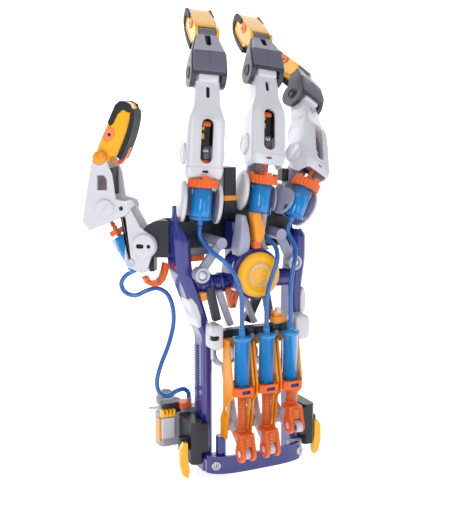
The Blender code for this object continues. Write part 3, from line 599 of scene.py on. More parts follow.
def bracket(name, place):
    """The pale knuckle bracket from the CAD, with a domed petal over each full cheek and pins through it."""
    add = partial(piece, place=place)
    refine("knuckle_bracket_" + name, "mist", 0.6)
    for side, label in ((-1, "left"), (1, "right")):
        if PETALS[name][side > 0]:
            rings = []
            for x, share in PETAL_DOME:
                rings.append(oval(-5, -39.5, 15.2 * share, 17.7 * share, side * x))
            add(f"petal_{name}_{label}", "white", [loft(rings)], edge=0.3, angle=40)
            dish = [
                oval(-5, -39.5, 11.4 * s, 13.6 * s, side * x)
                for x, s in ((13.7, 1.0), (13.2, 0.9), (13.0, 0.6))
            ]
            add(f"dish_{name}_{label}", "mist", [loft(dish)], edge=0.0)
    pins = [bar((s * 11.6, 0, 0), (s * 12.6, 0, 0), 4.2) for s in (-1, 1)]
    add("knuckle_pin_" + name, "grey", pins, edge=0.3)


def oval(y, z, half_y, half_z, x, steps=48):
    turn = [2 * math.pi * i / steps for i in range(steps)]
    return [(x, y + half_y * math.cos(a), z + half_z * math.sin(a)) for a in turn]


# A finger shell's outside: height, half width, front, back, corner radius
SHELL = [
    (-20.5, 14.2, -14.2, 4, 4.2),
    (-17, 15.2, -15.6, 5.4, 4.4),
    (-10, 15.8, -16.6, 8, 4.4),
    (10, 15.8, -16.8, 8, 4.2),
    (26, 15.6, -16.4, 8, 4.0),
    (34, 13.4, -14.9, 7.2, 3.4),
    (41, 11.2, -13, 6.6, 2.8),
    (52, 10.7, -10.8, 6.2, 2.4),
    (60, 10.6, -9.0, 6, 2.2),
]
CHIN_BAND = ((-19.6, 14.9, -15.2, 4.4, 4.2), (-12.6, 16.1, -17.0, 4.4, 4.4), (-11.4, 15.9, -16.8, 4.4, 4.4))
# height, half width, front
NECK_CAP = ((59, 7.6, -11.2), (60.4, 8.8, -12.4), (65, 8.8, -12.2), (67.4, 8.2, -10.8), (69, 7.2, -9))


def proximal(name, place):
    """The white shell: a rounded channel with a long oval window, a chin band and a capped neck."""
    add = partial(piece, body="proximal_" + name, place=place)
    wall = 2.0
    outer_rings = [round_corners(z, -w, w, f, b, r) for z, w, f, b, r in eased(SHELL)]
    inner_stations = [(z, w - wall, f + wall, 13, max(1, r - 1.4)) for z, w, f, b, r in SHELL]
    inner_stations[0] = (-26, 12.2, -12.2, 13, 2.8)
    inner_stations[-1] = (58, 8.6, -7.0, 13, 1)
    inner_rings = [round_corners(z, -w, w, f, b, r) for z, w, f, b, r in eased(inner_stations, 6)]
    neck = block((-10.4, 10.4), (-8.4, 5.8), (PROXIMAL - 12, PROXIMAL), 2)
    top = bar((-10.4, 0, PROXIMAL), (10.4, 0, PROXIMAL), 6.9, 40)
    slant = plate([(-6, -24), (14, -24), (14, -8)], "X", -20, 20)
    window = plate(arc((0, 23.5), 5.0, 0, 180, 16) + arc((0, -3.5), 5.0, 180, 360, 16), "Y", -22, -9)
    slit = plate(arc((0, 54), 1.5, 0, 180, 8) + arc((0, 47.5), 1.5, 180, 360, 8), "Y", -16, -6)
    pin_hole = bar((-20, 0, PROXIMAL), (20, 0, PROXIMAL), 2.4)
    cut = [loft(inner_rings), slant, window, chin_notch(), slit, pin_hole]
    add(
        "shell_" + name, "white", [loft(outer_rings), neck, top], cut, edge=0.55, segments=3,
        stands_for=["proximal_" + name], angle=34
    )

    frame_ring = window_rim()
    add("window_rim_" + name, "white", frame_ring[:1], frame_ring[1:], edge=0.3)
    chin_rings = [round_corners(z, -w, w, f, b, r) for z, w, f, b, r in CHIN_BAND]
    chin_cut = [block((-20, 20), (-13, 20), (-30, 0)), chin_notch()]
    add("chin_" + name, "white", [loft(chin_rings)], chin_cut, edge=0.3)
    cap = [round_corners(z, -w, w, f, -5, 2) for z, w, f in NECK_CAP]
    add("neck_cap_" + name, "white", [loft(cap)], edge=0.4)
    tongue = [block((-4.6, 4.6), (-11.4, -6), (PROXIMAL - 1, PROXIMAL + 4.6), 1.2)]
    add("neck_tongue_" + name, "grey", tongue, edge=0.5)
    # Black sheets inside the shell, behind the window and the neck's slit, painted as the shade in there.
    shade_sheet = [block((-12.4, 12.4), (1.2, 2.2), (-12, 34), 1)]
    add("shell_lining_" + name, "black", shade_sheet, edge=0.0)
    neck_shade_sheet = [block((-8.2, 8.2), (-7.9, -6.9), (42, 58), 0.6)]
    add("neck_liner_" + name, "black", neck_shade_sheet, edge=0.0)
    for side, label in ((-1, "left"), (1, "right")):
        boss = turned(
            [(9.4, 0), (9.4, 3.0), (8.8, 3.9), (7.2, 4.1), (6.8, 3.6), (0.2, 3.5)], (side * 13.6, 0, 0),
            (side, 0, 0), 48
        )
        add(f"boss_{name}_{label}", "white", [boss], edge=0.0)
    linkage(name, place)


def chin_notch():
    """A short slot across the chin band."""
    return plate(arc((1.6, -15.2), 1.0, -90, 90, 6) + arc((-1.6, -15.2), 1.0, 90, 270, 6), "Y", -20, -9)


def window_rim():
    """A thin raised lip round the oval window."""
    outer = plate(arc((0, 23.5), 6.1, 0, 180, 20) + arc((0, -3.5), 6.1, 180, 360, 20), "Y", -17.2, -15.4)
    inner = plate(arc((0, 23.5), 5.0, 0, 180, 20) + arc((0, -3.5), 5.0, 180, 360, 20), "Y", -22, -9)
    return [outer, inner]


def linkage(name, place):
    """What shows through the window: a black link with a spring on its pin, a clip and a clamp."""
    add = partial(piece, body="proximal_" + name, place=place)
    link = [(-10.6, -6), (-4.4, -7), (-3.4, 6), (-5, 16), (-4.6, 30), (-10.2, 32), (-12.4, 18), (-10.8, 6)]
    add("link_" + name, "black", [plate(link, "X", -4.0, 3.4)], edge=0.7)
    second = [(-11.6, -4), (-8.6, -6), (-7.6, 8), (-10.4, 10)]
    add("link_cover_" + name, "grey", [plate(second, "X", -1.2, 3.8)], edge=0.6)
    clip = [
        block((-3.6, 3.4), (-11.6, -6), (15.5, 20.5), 0.8), block((-4.2, -1.4), (-12.2, -6), (12, 22), 0.6)
    ]
    add("clip_" + name, "yellow", clip, edge=0.4)
    clamp = [
        block((-3.6, 3.2), (-12, -6), (22.4, 26.6), 1.2),
        bar((-3.6, -10.4, 24.4), (3.6, -10.4, 24.4), 2.2, 24)
    ]
    add("clamp_" + name, "orange", clamp, edge=0.4)
    spring = [
        turned([(1.6, x), (2.0, x + 0.35), (1.6, x + 0.7)], (0, -11.6, 2.4), (1, 0, 0), 20)
        for x in spring_steps()
    ]
    add("spring_" + name, "steel", spring, edge=0.0)
    base = [block((-4.4, 4.4), (-11.8, -7), (-8.8, -5.4), 1)]
    add("window_foot_" + name, "orange", base, edge=0.4)


def spring_steps():
    return [-2.4 + 0.8 * i for i in range(6)]


def middle(name, place):
    """The grey middle phalanx: dark cheeks, a back plate in two facets, a slot with black painted shade in it
    and a capped end.
    """
    add = partial(piece, body="middle_" + name, place=place)
    refine("middle_" + name, "slate", 0.7)
    back = [
        cut_corners(-4.6, -13.6, 13.6, -14.9, -12.4, 0.8),
        cut_corners(0, -14.2, 14.2, -15.9, -13, 0.9),
        cut_corners(13.4, -13.6, 13.6, -15.9, -13, 0.9),
        cut_corners(13.8, -13.5, 13.5, -15.8, -13, 0.9),
    ]
    upper = [
        cut_corners(13.9, -13.5, 13.5, -15.8, -13, 0.9),
        cut_corners(30, -9.4, 9.4, -10.6, -8, 0.8),
        cut_corners(MIDDLE - 3, -8.4, 8.4, -9.6, -7.4, 0.8),
    ]
    slot = plate(arc((0, 30.5), 2.5, 0, 180, 10) + arc((0, 22), 2.3, 180, 360, 10), "Y", -18, 0)
    seam = block((-0.25, 0.25), (-17, -15.6), (-3, 13))
    add("back_plate_" + name, "grey", [loft(back)], [seam], edge=0.35)
    add("back_slope_" + name, "grey_light", [loft(upper)], [slot], edge=0.35)
    # A black plate in the slot, painted as the shade down in it.
    slot_shade_plate = plate(arc((0, 30.5), 2.6, 0, 180, 10) + arc((0, 22), 2.4, 180, 360, 10), "Y", -9, -7.6)
    add("slot_floor_" + name, "black", [slot_shade_plate], edge=0.0)
    cap = turned([(4.0, -7.6), (4.8, -6.8), (4.8, 6.8), (4.0, 7.6)], (0, -6.0, MIDDLE - 0.6), (1, 0, 0))
    add("end_cap_" + name, "grey", [cap], edge=0.3)
    for side, label in ((-1, "left"), (1, "right")):
        ring = hollow(
            [(5.2, 0), (5.2, 0.7), (4.2, 0.9), (3.6, 0.4), (3.6, 0)], (side * 15.2, -1, 0), (side, 0, 0)
        )
        pin = turned([(3.4, -1), (3.4, 0.2), (3.0, 0.5), (0.2, 0.6)], (side * 15.2, -1, 0), (side, 0, 0))
        add(f"cheek_ring_{name}_{label}", "dark", [ring, pin], edge=0.0)
    add("inner_pin_" + name, "mist", [bar((-10.9, 0, 0), (10.9, 0, 0), 2.1)], edge=0.0)


def pad_arc(grow, first, last, steps):
    turn = [math.radians(first + (last - first) * i / steps) for i in range(steps + 1)]
    return [(6.4 + (8.2 + grow) * math.cos(a), 13.0 + (35.0 + grow) * math.sin(a)) for a in turn]


def fingertip(name, place, body, shell_nodes, pad_nodes, is_thumb=False):
    """The yellow fingertip, its orange side inserts, and the thin black pad with a ribbed seam."""
    add = partial(piece, body=body, place=place)
    crown = [
        (-5.6, 43), (-5.2, 46.4), (-3.4, 49.2), (-0.4, 50.6), (3.4, 50.4), (6.6, 48.6)
    ] + pad_arc(-2.2, 66, -8, 22)
    outline = [
        (-5.2, 1.4), (-6, 6), (-6.2, 14), (-6.2, 30), (-5.8, 40)
    ] + crown + [(8.8, 5.2), (6.4, 3.2), (3, 2)]
    fin = plate(outline, "X", -9.9, 9.9)
    ears = [bar((s * 8.0, 0, 0), (s * 10.6, 0, 0), 6.4, 40) for s in (-1, 1)]
    knuckle = bar((-7.9, 0, 0), (7.9, 0, 0), 6.7, 40)
    fork_gap = plate([(0, 5), (9, 3), (4, -12), (-12, -12), (-8, 1)], "X", -7.9, 7.9)
    add(
        "tip_shell_" + name, "yellow", [fin] + ears, [knuckle, fork_gap], edge=1.2 if is_thumb else 1.5,
        segments=4, stands_for=shell_nodes, angle=34
    )
    sole = pad_arc(1.9, 74, -12, 28) + pad_arc(-2.6, -12, 74, 28)
    add(
        "pad_sole_" + name, "rubber", [plate(sole, "X", -10.9, 10.9)], edge=0.8, segments=3,
        stands_for=pad_nodes, angle=40
    )
    for side, label in ((-1, "left"), (1, "right")):
        limits = sides_of(side, 9.3, 11.3)
        strap = [
            (-6.4, 45), (-6.4, 29), (-3.2, 27.2), (-1.8, 30), (-1.4, 39), (1.4, 44.4), (6.6, 44),
            (9.6, 46.4)
        ]
        strap += [(5.4, 51), (0, 51.4), (-4.2, 49.6)]
        add(f"pad_strap_{name}_{label}", "rubber", [plate(strap, "X", *limits)], edge=0.4)
        insert = [(-5.8, 15), (-5.9, 23), (-4, 26.6), (1, 25.8), (3.4, 21.4), (1.8, 16.4), (-1.8, 13.4)]
        hole = bar((side * 6, -1.2, 20.4), (side * 14, -1.2, 20.4), 1.3, 20)
        paint = "salmon" if is_thumb else "orange"
        add(
            f"insert_{name}_{label}", paint, [plate(insert, "X", *sides_of(side, 9.0, 10.9))], [hole],
            edge=0.5
        )
        # A black disc down in the insert's hole, painted as the shade in it.
        add(
            f"insert_hole_{name}_{label}", "black",
            [bar((side * 9.6, -1.2, 20.4), (side * 10.2, -1.2, 20.4), 1.3, 20)], edge=0.0
        )
        teeth = [block(sides_of(side, 9.6, 10.5), (y, y + 1.6), (z, z + 1.5), 0.3) for y, z in tooth_places()]
        add(f"seam_teeth_{name}_{label}", "yellow", teeth, edge=0.2)
        lower = [(2.4, -2.6), (7.6, 3.2), (9.2, 6.8), (5.2, 6.4), (1.4, 1.6)]
        if not is_thumb:
            add(
                f"lower_hook_{name}_{label}", "amber", [plate(lower, "X", *sides_of(side, 7.9, 10.2))],
                edge=0.4
            )


def tooth_places():
    """Small teeth along the seam between the fingertip's shell and its pad."""
    found = []
    for i in range(9):
        a = math.radians(-2 + 6.4 * i)
        found.append((6.4 + 4.4 * math.cos(a) - 1.2, 13.0 + 31.6 * math.sin(a)))
    return found


# ---------------------------------------------------------------- thumb


def thumb():
    base, shell, tip, cylinder = THUMB["base"], THUMB["proximal"], THUMB["tip"], THUMB["cylinder"]
    refine("thumb_housing", "dark", 0.9, 3)
    refine("thumb_bracket", "white", 0.7, 3)
    refine("thumb_proximal", "white", 0.8, 3)
    reach = rod_reach("thumb_rod", cylinder)
    cylinder_pieces(
        "thumb", cylinder, "thumb_cylinder", "thumb_rod", "thumb_cylinder", "thumb_rod", reach, 10.4
    )
    fingertip("thumb", tip, "thumb_tip", ["thumb_tip"], ["thumb_pad"], is_thumb=True)
    for side, label in ((-1, "left"), (1, "right")):
        boss = turned([(5.8, 0), (5.8, 5.6), (5.2, 6.6), (0.2, 7)], (side * 10, 0, 0), (side, 0, 0))
        piece(f"thumb_boss_{label}", "amber", [boss], body="thumb_tip", place=tip, edge=0.0)
        slotted_disc(
            f"thumb_cover_{label}", "white", "thumb_proximal", (side * 16.8, -13.5, 0), side, 7.4, shell,
            1.0, 50
        )
        dial = turned(
            [(10.3, -1), (10.3, 1.9), (9.5, 2.8), (0.2, 3.0)], (side * 13.2, 0, 0), (side, 0, 0), 48
        )
        slot = plate(slot_outline(), "X", *sides_of(side, 14.8, 18))
        dot = bar((side * 14.8, 4.4, 0), (side * 18, 4.4, 0), 1.7, 20)
        piece(f"swing_dial_{label}", "white", [dial], [slot, dot], body="thumb_bracket", place=base, edge=0.2)
        # Black plates at the bottom of the dial's slot and hole, painted as the shade in them.
        dark = [plate(slot_outline(0.05), "X", *sides_of(side, 14.6, 15.0))]
        dark.append(bar((side * 14.6, 4.4, 0), (side * 15.0, 4.4, 0), 1.75, 20))
        piece(f"swing_dial_hole_shade_{label}", "black", dark, body="thumb_bracket", place=base, edge=0.0)
        pin = turned(
            [(3.6, 0), (3.6, 0.7), (2.8, 1.1), (2.3, 0.7), (0.2, 0.7)], (side * 12.7, *THUMB_TRUNNION),
            (side, 0, 0)
        )
        piece(f"trunnion_pin_{label}", "pale", [pin], body="thumb_bracket", place=base, edge=0.0)
    hook = [(-7, 36), (-3, 36), (2, 43), (5, 50), (2.6, 51), (-1, 45), (-6, 39)]
    piece("thumb_hook", "orange", [plate(hook, "X", -3, 3)], body="thumb_proximal", place=shell, edge=0.5)
    # A black sheet inside the thumb's shell, painted as the shade in there.
    shade_sheet = [block((-12.9, 12.9), (-11.4, -10.4), (10, 33), 0.6)]
    piece("thumb_painted_shade", "black", shade_sheet, body="thumb_proximal", place=shell, edge=0.0)
    post = [block((-5, 5), (-0.4, 1.9), (-21, -13), 0.8), block((-3, 3), (-1.0, 1.2), (-11, -7), 0.6)]
    piece("thumb_post_plate", "orange", post, place=base, edge=0.4)
    line = [(-95.6, 155.5), (-93.6, 151.2), (-89, 149), (-84, 149.6), (-80.4, 153), (-78, 159), (-76.6, 166)]
    clip = [plate(thick_line(line, 2.3), "Y", 4.5, 11.5)]
    clip += [
        turned([(1.7, 0), (1.7, 0.9), (1.3, 1.2)], (x, 4.5, z), (0, -1, 0), 16)
        for x, z in (line[1], line[3])
    ]
    piece("thumb_clip", "orange", clip, edge=0.6, segments=3)


def slot_outline(grow=0.0):
    return arc((-4.6, 0), 1.9 + grow, 90, 270, 8) + arc((-1.6, 0), 1.9 + grow, -90, 90, 8)


def thick_line(points, half):
    """The outline of a strip of even width along a line."""
    left, right = [], []
    for i, (x, z) in enumerate(points):
        before, after = points[max(0, i - 1)], points[min(len(points) - 1, i + 1)]
        along = Vector((after[0] - before[0], after[1] - before[1])).normalized() * half
        left.append((x - along.y, z + along.x))
        right.append((x + along.y, z - along.x))
    return left + right[::-1]


# ---------------------------------------------------------------- wrist frame

RAILS = {
    "left": [
        (-20, 46, 9, 0, 22),
        (98, 46, 9, 0, 22),
        (112, 50, 11, -1, 23),
        (140, 60, 13, -2, 25),
        (165, 68, 14, -2, 26),
        (186, 69.5, 14, -2, 25.6),
        (194, 71, 10.6, -3, 20),
        (199, 73, 6, -4, 13),
        (216, 73.4, 1.6, -4, 3),
    ],
    "right": [
        (-20, 41.5, 9, 0, 22),
        (98, 40, 9, 0, 22),
        (112, 40, 10, -1, 23),
        (140, 40.5, 12, -2, 24),
        (165, 43, 12.6, -2, 25),
        (184, 43.4, 12, -2, 24),
        (190, 43.4, 8, -1, 18),
    ],
}
LEAVES = {
    "left": [
        (-65.5, 136.5), (-62.5, 139), (-57.5, 132), (-54, 122), (-53.6, 112.5), (-56.2, 111), (-58.6, 118),
        (-63, 127)
    ],
    "right": [(46.6, 138), (48.6, 130), (48.2, 118), (45.6, 112), (43, 116), (42.6, 128), (44, 136.5)],
}


def rails():
    """The navy rails: flat-sided, with a fine rack on the outside and a pale leaf."""
    for label, stations in RAILS.items():
        side = -1 if label == "left" else 1
        rings = []
        for z, x, width, y, depth in eased(stations):
            half, deep = width / 2, depth / 2
            cut = min(width, depth) * 0.28
            ring = cut_corners(z, x - half, x + half, y - deep, y + deep, cut)
            rings.append([(side * a, b, c) for a, b, c in ring])
        piece(
            "rail_skin_" + label, "navy", [loft(rings)], edge=0.9, segments=3, stands_for=["rail_" + label],
            angle=20
        )
        outer = stations[0][1] + stations[0][2] / 2
        teeth = []
        for i in range(44):
            z = -6 + i * 2.25
            teeth.append(block(sides_of(side, outer - 1.0, outer + 1.5), (1.2, 6.3), (z, z + 1.15)))
        teeth.append(block(sides_of(side, outer - 1.4, outer + 0.5), (0.8, 6.7), (-7, 93.6)))
        piece("rack_" + label, "navy", teeth, edge=0.15)
        groove = [block(sides_of(side, outer - 0.6, outer + 0.35), (-6.6, -5.2), (-12, 96))]
        piece("rail_rib_" + label, "navy", groove, edge=0.3)
        leaf = loft([[(x, y, z) for x, z in LEAVES[label]] for y in (-14.6, 4)])
        piece("rail_leaf_" + label, "white", [leaf], edge=1.2, segments=4)


def main_frame():
    rails()
    refine("cuff_band", "navy", 0.6)
    refine("cuff_link", "pale", 0.6)
    refine("hub_housing", "navy", 0.8, 3)
    refine("knuckle_beam", "dark", 0.8)
    for label in ("left", "right"):
        refine("hub_arm_" + label, "mist", 0.8, 3)
        refine("buckle_" + label, "dark", 1.0, 3)
        refine("lock_lever_" + label, "yellow", 0.8, 3)
    for name in NAMES:
        refine("cradle_" + name, "amber", 0.4)
        refine("lever_" + name, "pale", 0.5)
    refine("thumb_control", "grey_light", 0.8, 3)
    refine("thumb_plunger", "grey_light", 0.4)
    control_details()


def control_details():
    """Trim on the thumb's control behind the left rail."""
    ribs = [block((x, x + 2.2), (13.6, 22), (26.4, 32.4), 0.6) for x in (-79, -75.6, -72.2, -68.8)]
    piece("control_ribs", "yellow", ribs + [block((-79.4, -66), (15, 22), (25.6, 29), 0.8)], edge=0.4)
    piece("control_black", "dark", [block((-76, -60.6), (18, 30), (28.2, 37), 1.6)], edge=0.7)
    piece("control_orange", "orange", [block((-62, -51.4), (13.6, 26), (31.4, 36.8), 1.4)], edge=0.7)
    piece("control_stripe", "amber", [block((-81, -78.8), (17.6, 26), (3, 24), 0.6)], edge=0.5)
    piece("control_front", "white", [block((-79.4, -66.4), (15.4, 18), (6, 24.6), 1)], edge=0.6)
    piece("control_rod", "white", [bar((-88, 25, 33), (-76, 25, 32.4), 1.3, 20)], edge=0.3)


# ---------------------------------------------------------------- hub


def dial():
    """The yellow dial: a domed rim, a shallow dish, and a plain ring of raised marks."""
    x, y, z = HUB
    profile = [
        (17.6, -0.5), (19.3, -1.2), (19.5, -3.2), (18.8, -4.8), (17.0, -6.0), (15.2, -6.4), (13.8, -6.2)
    ]
    profile += [(12.8, -5.6), (12.2, -5.3), (6, -5.2), (0.2, -5.2)]
    body = turned([(r, -d) for r, d in profile], (x, y, z), (0, -1, 0), 72)
    piece("dial_body", "yellow", [body], body="dial", edge=0.0, stands_for=["hub_dial"])
    ring = [(10.4, 5.0), (11.4, 5.0), (11.3, 5.7), (10.5, 5.7)]
    marks = []
    for start, end in ((25, 155), (172, 236), (262, 322)):
        outer = arc((x, z), 9.6, start, end, 18)
        inner = list(reversed(arc((x, z), 8.3, start, end, 18)))
        marks.append(plate(outer + inner, "Y", y - 5.9, y - 5.0))
    for turn in range(0, 360, 60):
        a = math.radians(turn + 15)
        centre = (x + 4.6 * math.cos(a), y - 5.0, z + 4.6 * math.sin(a))
        marks.append(turned([(0.9, 0), (0.8, 0.6)], centre, (0, -1, 0), 16))
    piece("dial_marks", "pale", marks, body="dial", edge=0.15)
    piece("dial_ring", "yellow", [hollow(ring, (x, y, z), (0, -1, 0), 72)], body="dial", edge=0.0)


def hub_details():
    x, _, z = HUB
    collar = hollow(
        [(20.0, 0.4), (21.4, 0.4), (21.9, 1.0), (21.9, 7), (21.4, 7.6), (20.0, 7.6)], (x, -30, z),
        (0, 1, 0), 64
    )
    piece("hub_collar", "navy", [collar], edge=0.0)
    ribs = [
        hollow([(8.0, 0), (9.2, 0.4), (9.2, 3.6), (8.0, 4)], (-44 + i * 10, -4, 147), (1, 0, 0))
        for i in range(2)
    ]
    piece("hub_bar_rings", "navy", ribs, edge=0.0)
    piece("banana", "amber", [grip_shape()], edge=0.6, segments=3)
    neck = [block((x - 3.4, x + 4.4), (-31, -24), (179, 185.5), 1.4)]
    piece("banana_neck", "orange", neck, edge=0.7)
    for side, label in ((-1, "left"), (1, "right")):
        piece("hub_petal_" + label, "mist", [fin_shape(side, label)], edge=0.7, segments=3)
    for label, (bx, bz) in (("left", (-57, 159)), ("right", (31, 163))):
        ring = hollow(
            [(6.5, 0), (6.5, 1.4), (5.6, 2.0), (4.6, 2.0), (4.2, 1.2), (4.2, 0)], (bx, -24, bz), (0, -1, 0)
        )
        head = turned([(3.9, 0), (3.9, 0.9), (3.0, 1.3), (0.2, 1.4)], (bx, -24, bz), (0, -1, 0))
        piece("arm_ring_" + label, "pale", [ring], edge=0.0)
        piece("arm_screw_" + label, "steel", [head], edge=0.0)


def struts():
    """The braces between the hub and the crossbar, the posts' bands, the screws and other small trim."""
    for name, paint, low, high, half, front, back in STRUTS:
        line = [low, ((low[0] + high[0]) / 2, (low[1] + high[1]) / 2), high]
        piece("strut_" + name, paint, [plate(thick_line(line, half), "Y", front, back)], edge=0.6, segments=3)
    link = [
        block((3.4, 15.6), (-37, -29), (114.6, 119.4), 1.2),
        block((4.6, 14.4), (-35, -29), (118.6, 124.4), 1)
    ]
    piece("bridge_link", "amber", link, [bar((0, -33, 121), (20, -33, 121), 1.6, 16)], edge=0.6)
    piece("bridge_link_cap", "white", [block((7.2, 11.8), (-36, -31), (122, 127), 0.8)], edge=0.5)
    piece("post_band", "amber", [block((-28.1, -14.9), (-4.6, 8), (217.6, 222), 1)], edge=0.5)
    post = [block((30, 36.5), (-3.4, 8), (232, 243), 1.2)]
    piece("second_post", "dark", post, edge=0.8)
    for label, x, y in (("left", -44, -22.2), ("right", 39, -22.2)):
        screw("cuff_screw_" + label, "frame", (x, y, -11), (0.35 if x > 0 else -0.35, -1, 0), 4.0)
    piece("bridge_rod", "white", [bar((-46, -19, 84), (-46, -19, 96), 1.3, 20)], edge=0.3)
    piece("tie_left", "grey", [block((-62, -44), (-9, -3), (173.6, 180), 1.2)], edge=0.6)
    piece("tie_shadow_left", "copper", [block((-60, -47), (-7, -2), (168, 173.4), 1)], edge=0.5)


# name, paint, low end (x, z), high end (x, z), half width, front, back
STRUTS = (
    ("dark_left", "slate", (-38, 116), (-45, 146), 3.4, -14, -8),
    ("pale_left", "grey_light", (-28, 112), (-39, 143), 2.6, -20, -14.6),
    ("dark_middle", "dark", (-10, 112), (4, 140), 3.6, -15, -9),
    ("pale_middle", "grey_light", (-5, 112), (-16, 138), 2.4, -20, -14.6),
    ("orange_a", "orange", (-24, 126), (-28.5, 144), 2.2, -15, -9),
    ("orange_b", "orange", (-23.5, 126), (-19.5, 140), 2.0, -15, -9),
    ("orange_c", "amber", (-51, 135), (-53, 142), 2.4, -16, -10),
    ("dark_right", "slate", (14, 112), (9, 138), 3.2, -14, -8),
)


# The grip: height, middle x from the hub, half width, depth
GRIP = (
    (184, 0.4, 3.0, 3.4),
    (187, 1.0, 4.2, 4.0),
    (192, 1.4, 5.0, 4.4),
    (198, 0.8, 5.0, 4.4),
    (204, -0.6, 4.4, 4.2),
    (209, -1.6, 3.8, 3.8),
)
# The fins beside it: height, near and far x from the hub, front. The right one is narrow, to clear a hose.
FINS = {
    "left": (
        (173, 9.6, 17.4, -27.5),
        (179, 7.8, 18.2, -30),
        (187, 7.0, 17, -30.6),
        (197, 7.6, 15, -29),
        (207, 9, 13.8, -26),
    ),
    "right": (
        (176, 8, 15, -24),
        (181, 5.2, 11, -24),
        (188, 4.8, 9.6, -24),
        (197, 6, 11, -24),
        (207, 8, 13, -23),
    ),
}


def grip_shape():
    """A curved grip above the dial."""
    rings = []
    for z, middle, half, deep in GRIP:
        x = HUB.x + 1 + middle
        rings.append(round_corners(z, x - half, x + half, -28 - deep, -20, min(half, 3.0)))
    return loft(rings)


def fin_shape(side, label):
    """A pale fin beside the grip, leaning out from the hub to the beam."""
    rings = []
    for z, near, far, front in FINS[label]:
        low, high = sides_of(side, near, far)
        rings.append(round_corners(z, HUB.x + low + 1, HUB.x + high + 1, front, -14, 1.8))
    return loft(rings)


# ---------------------------------------------------------------- control syringes


# A bridge block's height and how far its sides come in there
BRIDGE_BLOCK = ((95, 1.6), (96.4, 0.4), (98, 0), (113, 0), (114.8, 0.5), (116.2, 1.8))


def bridge():
    """The dark crossbar with a white block on each rail, and a dark clip between the syringes."""
    bar_block = block((-42, 31), (-27, -18.2), (97.5, 110.5), 1.6)
    ridge = block((-40, 29), (-28, -20), (103.4, 105.4), 0.6)
    piece("crossbar", "dark", [bar_block, ridge], edge=0.7, stands_for=["syringe_bridge"])
    for side, label, near, far in ((-1, "left", 40.4, 51.2), (1, "right", 28.4, 43.2)):
        low, high = sides_of(side, near, far)
        rings = [round_corners(z, low + i, high - i, -31.4 + i, -14.8, 2.6) for z, i in BRIDGE_BLOCK]
        slot = plate(arc((0, 0), 2.0, -90, 90, 8) + [(-9, 2.0), (-9, -2.0)], "Y", -34, -25)
        turn = Matrix.Translation((side * (far - 4.6), 0, 105.4))
        slot.transform(turn @ Matrix.Scale(1 if side < 0 else -1, 4, (1, 0, 0)))
        bmesh.ops.recalc_face_normals(slot, faces=slot.faces)
        piece("bridge_block_" + label, "white", [loft(rings)], [slot], edge=0.4)
        # A black block in the bridge block's slot, painted as the shade in it.
        notch_shade_block = block(sides_of(side, far - 8, far - 0.8), (-29.5, -25.2), (103, 107.8))
        piece("bridge_notch_shade_" + label, "black", [notch_shade_block], edge=0.0)
    between = ((SYRINGE_X["index"] + SYRINGE_X["middle"]) / 2, (SYRINGE_X["middle"] + SYRINGE_X["ring"]) / 2)
    for i, x in enumerate(between):
        clip = [
            block((x - 3.6, x + 3.6), (-37, -26), (99, 113), 1.2),
            block((x - 2.4, x + 2.4), (-38.4, -34), (101, 110), 1)
        ]
        piece(f"bridge_clip_{i}", "dark", clip, edge=0.6)
        pad = [block((x - 2.0, x + 2.0), (-39, -37.6), (103.5, 108.5), 0.6)]
        piece(f"bridge_clip_pad_{i}", "grey", pad, edge=0.4)


def syringe(name):
    """One control syringe: its clear barrel, orange clamp ring, ribbed plunger rod and forked end."""
    x = SYRINGE_X[name]
    base = (x, SYRINGE_Y, BARREL_Z[0])
    tall = BARREL_Z[1] - BARREL_Z[0]
    wall = [
        (5.3, 0), (6.6, 0), (6.6, tall - 3.6), (8.0, tall - 3.2), (8.0, tall - 0.6), (7.6, tall),
        (2.9, tall)
    ]
    wall += [(2.9, tall + 1.6), (2.4, tall + 6.5), (1.4, tall + 6.5), (1.4, tall - 2), (5.3, tall - 3.6)]
    piece(
        "barrel_" + name, "tube", [hollow(wall, base, (0, 0, 1), 56)], edge=0.0,
        stands_for=["syringe_barrel_" + name]
    )
    fork_z = fork_height(name)
    ring = block(
        (x - 9.4, x + 9.4), (SYRINGE_Y - 9, SYRINGE_Y + 9), (BARREL_Z[0] - 0.4, BARREL_Z[0] + 7.2), 3.2
    )
    hole = turned([(6.7, -3), (6.7, 12)], base, (0, 0, 1))
    window = block(
        (x - 3.8, x + 3.8), (SYRINGE_Y - 12, SYRINGE_Y - 7.4), (BARREL_Z[0] + 2, BARREL_Z[0] + 4.8), 0.4
    )
    piece("clamp_ring_" + name, "orange", [ring], [hole, window], edge=0.5)
    pane = block(
        (x - 3.7, x + 3.7), (SYRINGE_Y - 8.4, SYRINGE_Y - 7.2), (BARREL_Z[0] + 2.1, BARREL_Z[0] + 4.7)
    )
    piece("clamp_window_" + name, "deep", [pane], edge=0.0)
    hole = turned([(6.7, -3), (6.7, 12)], base, (0, 0, 1))
    lips = [
        block(
            (x - 10.6, x + 10.6), (SYRINGE_Y + 1, SYRINGE_Y + 7), (BARREL_Z[0] + 0.8, BARREL_Z[0] + 6.2), 1
        )
    ]
    piece("clamp_lips_" + name, "orange", lips, [hole], edge=0.4)
    plunger(name, x, fork_z)
    lever_details(name)


def fork_height(name):
    """The height of the fork's pin at rest, from the top of the CAD plunger."""
    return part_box("plunger_" + name)[1].z / MM - PISTON_REACH


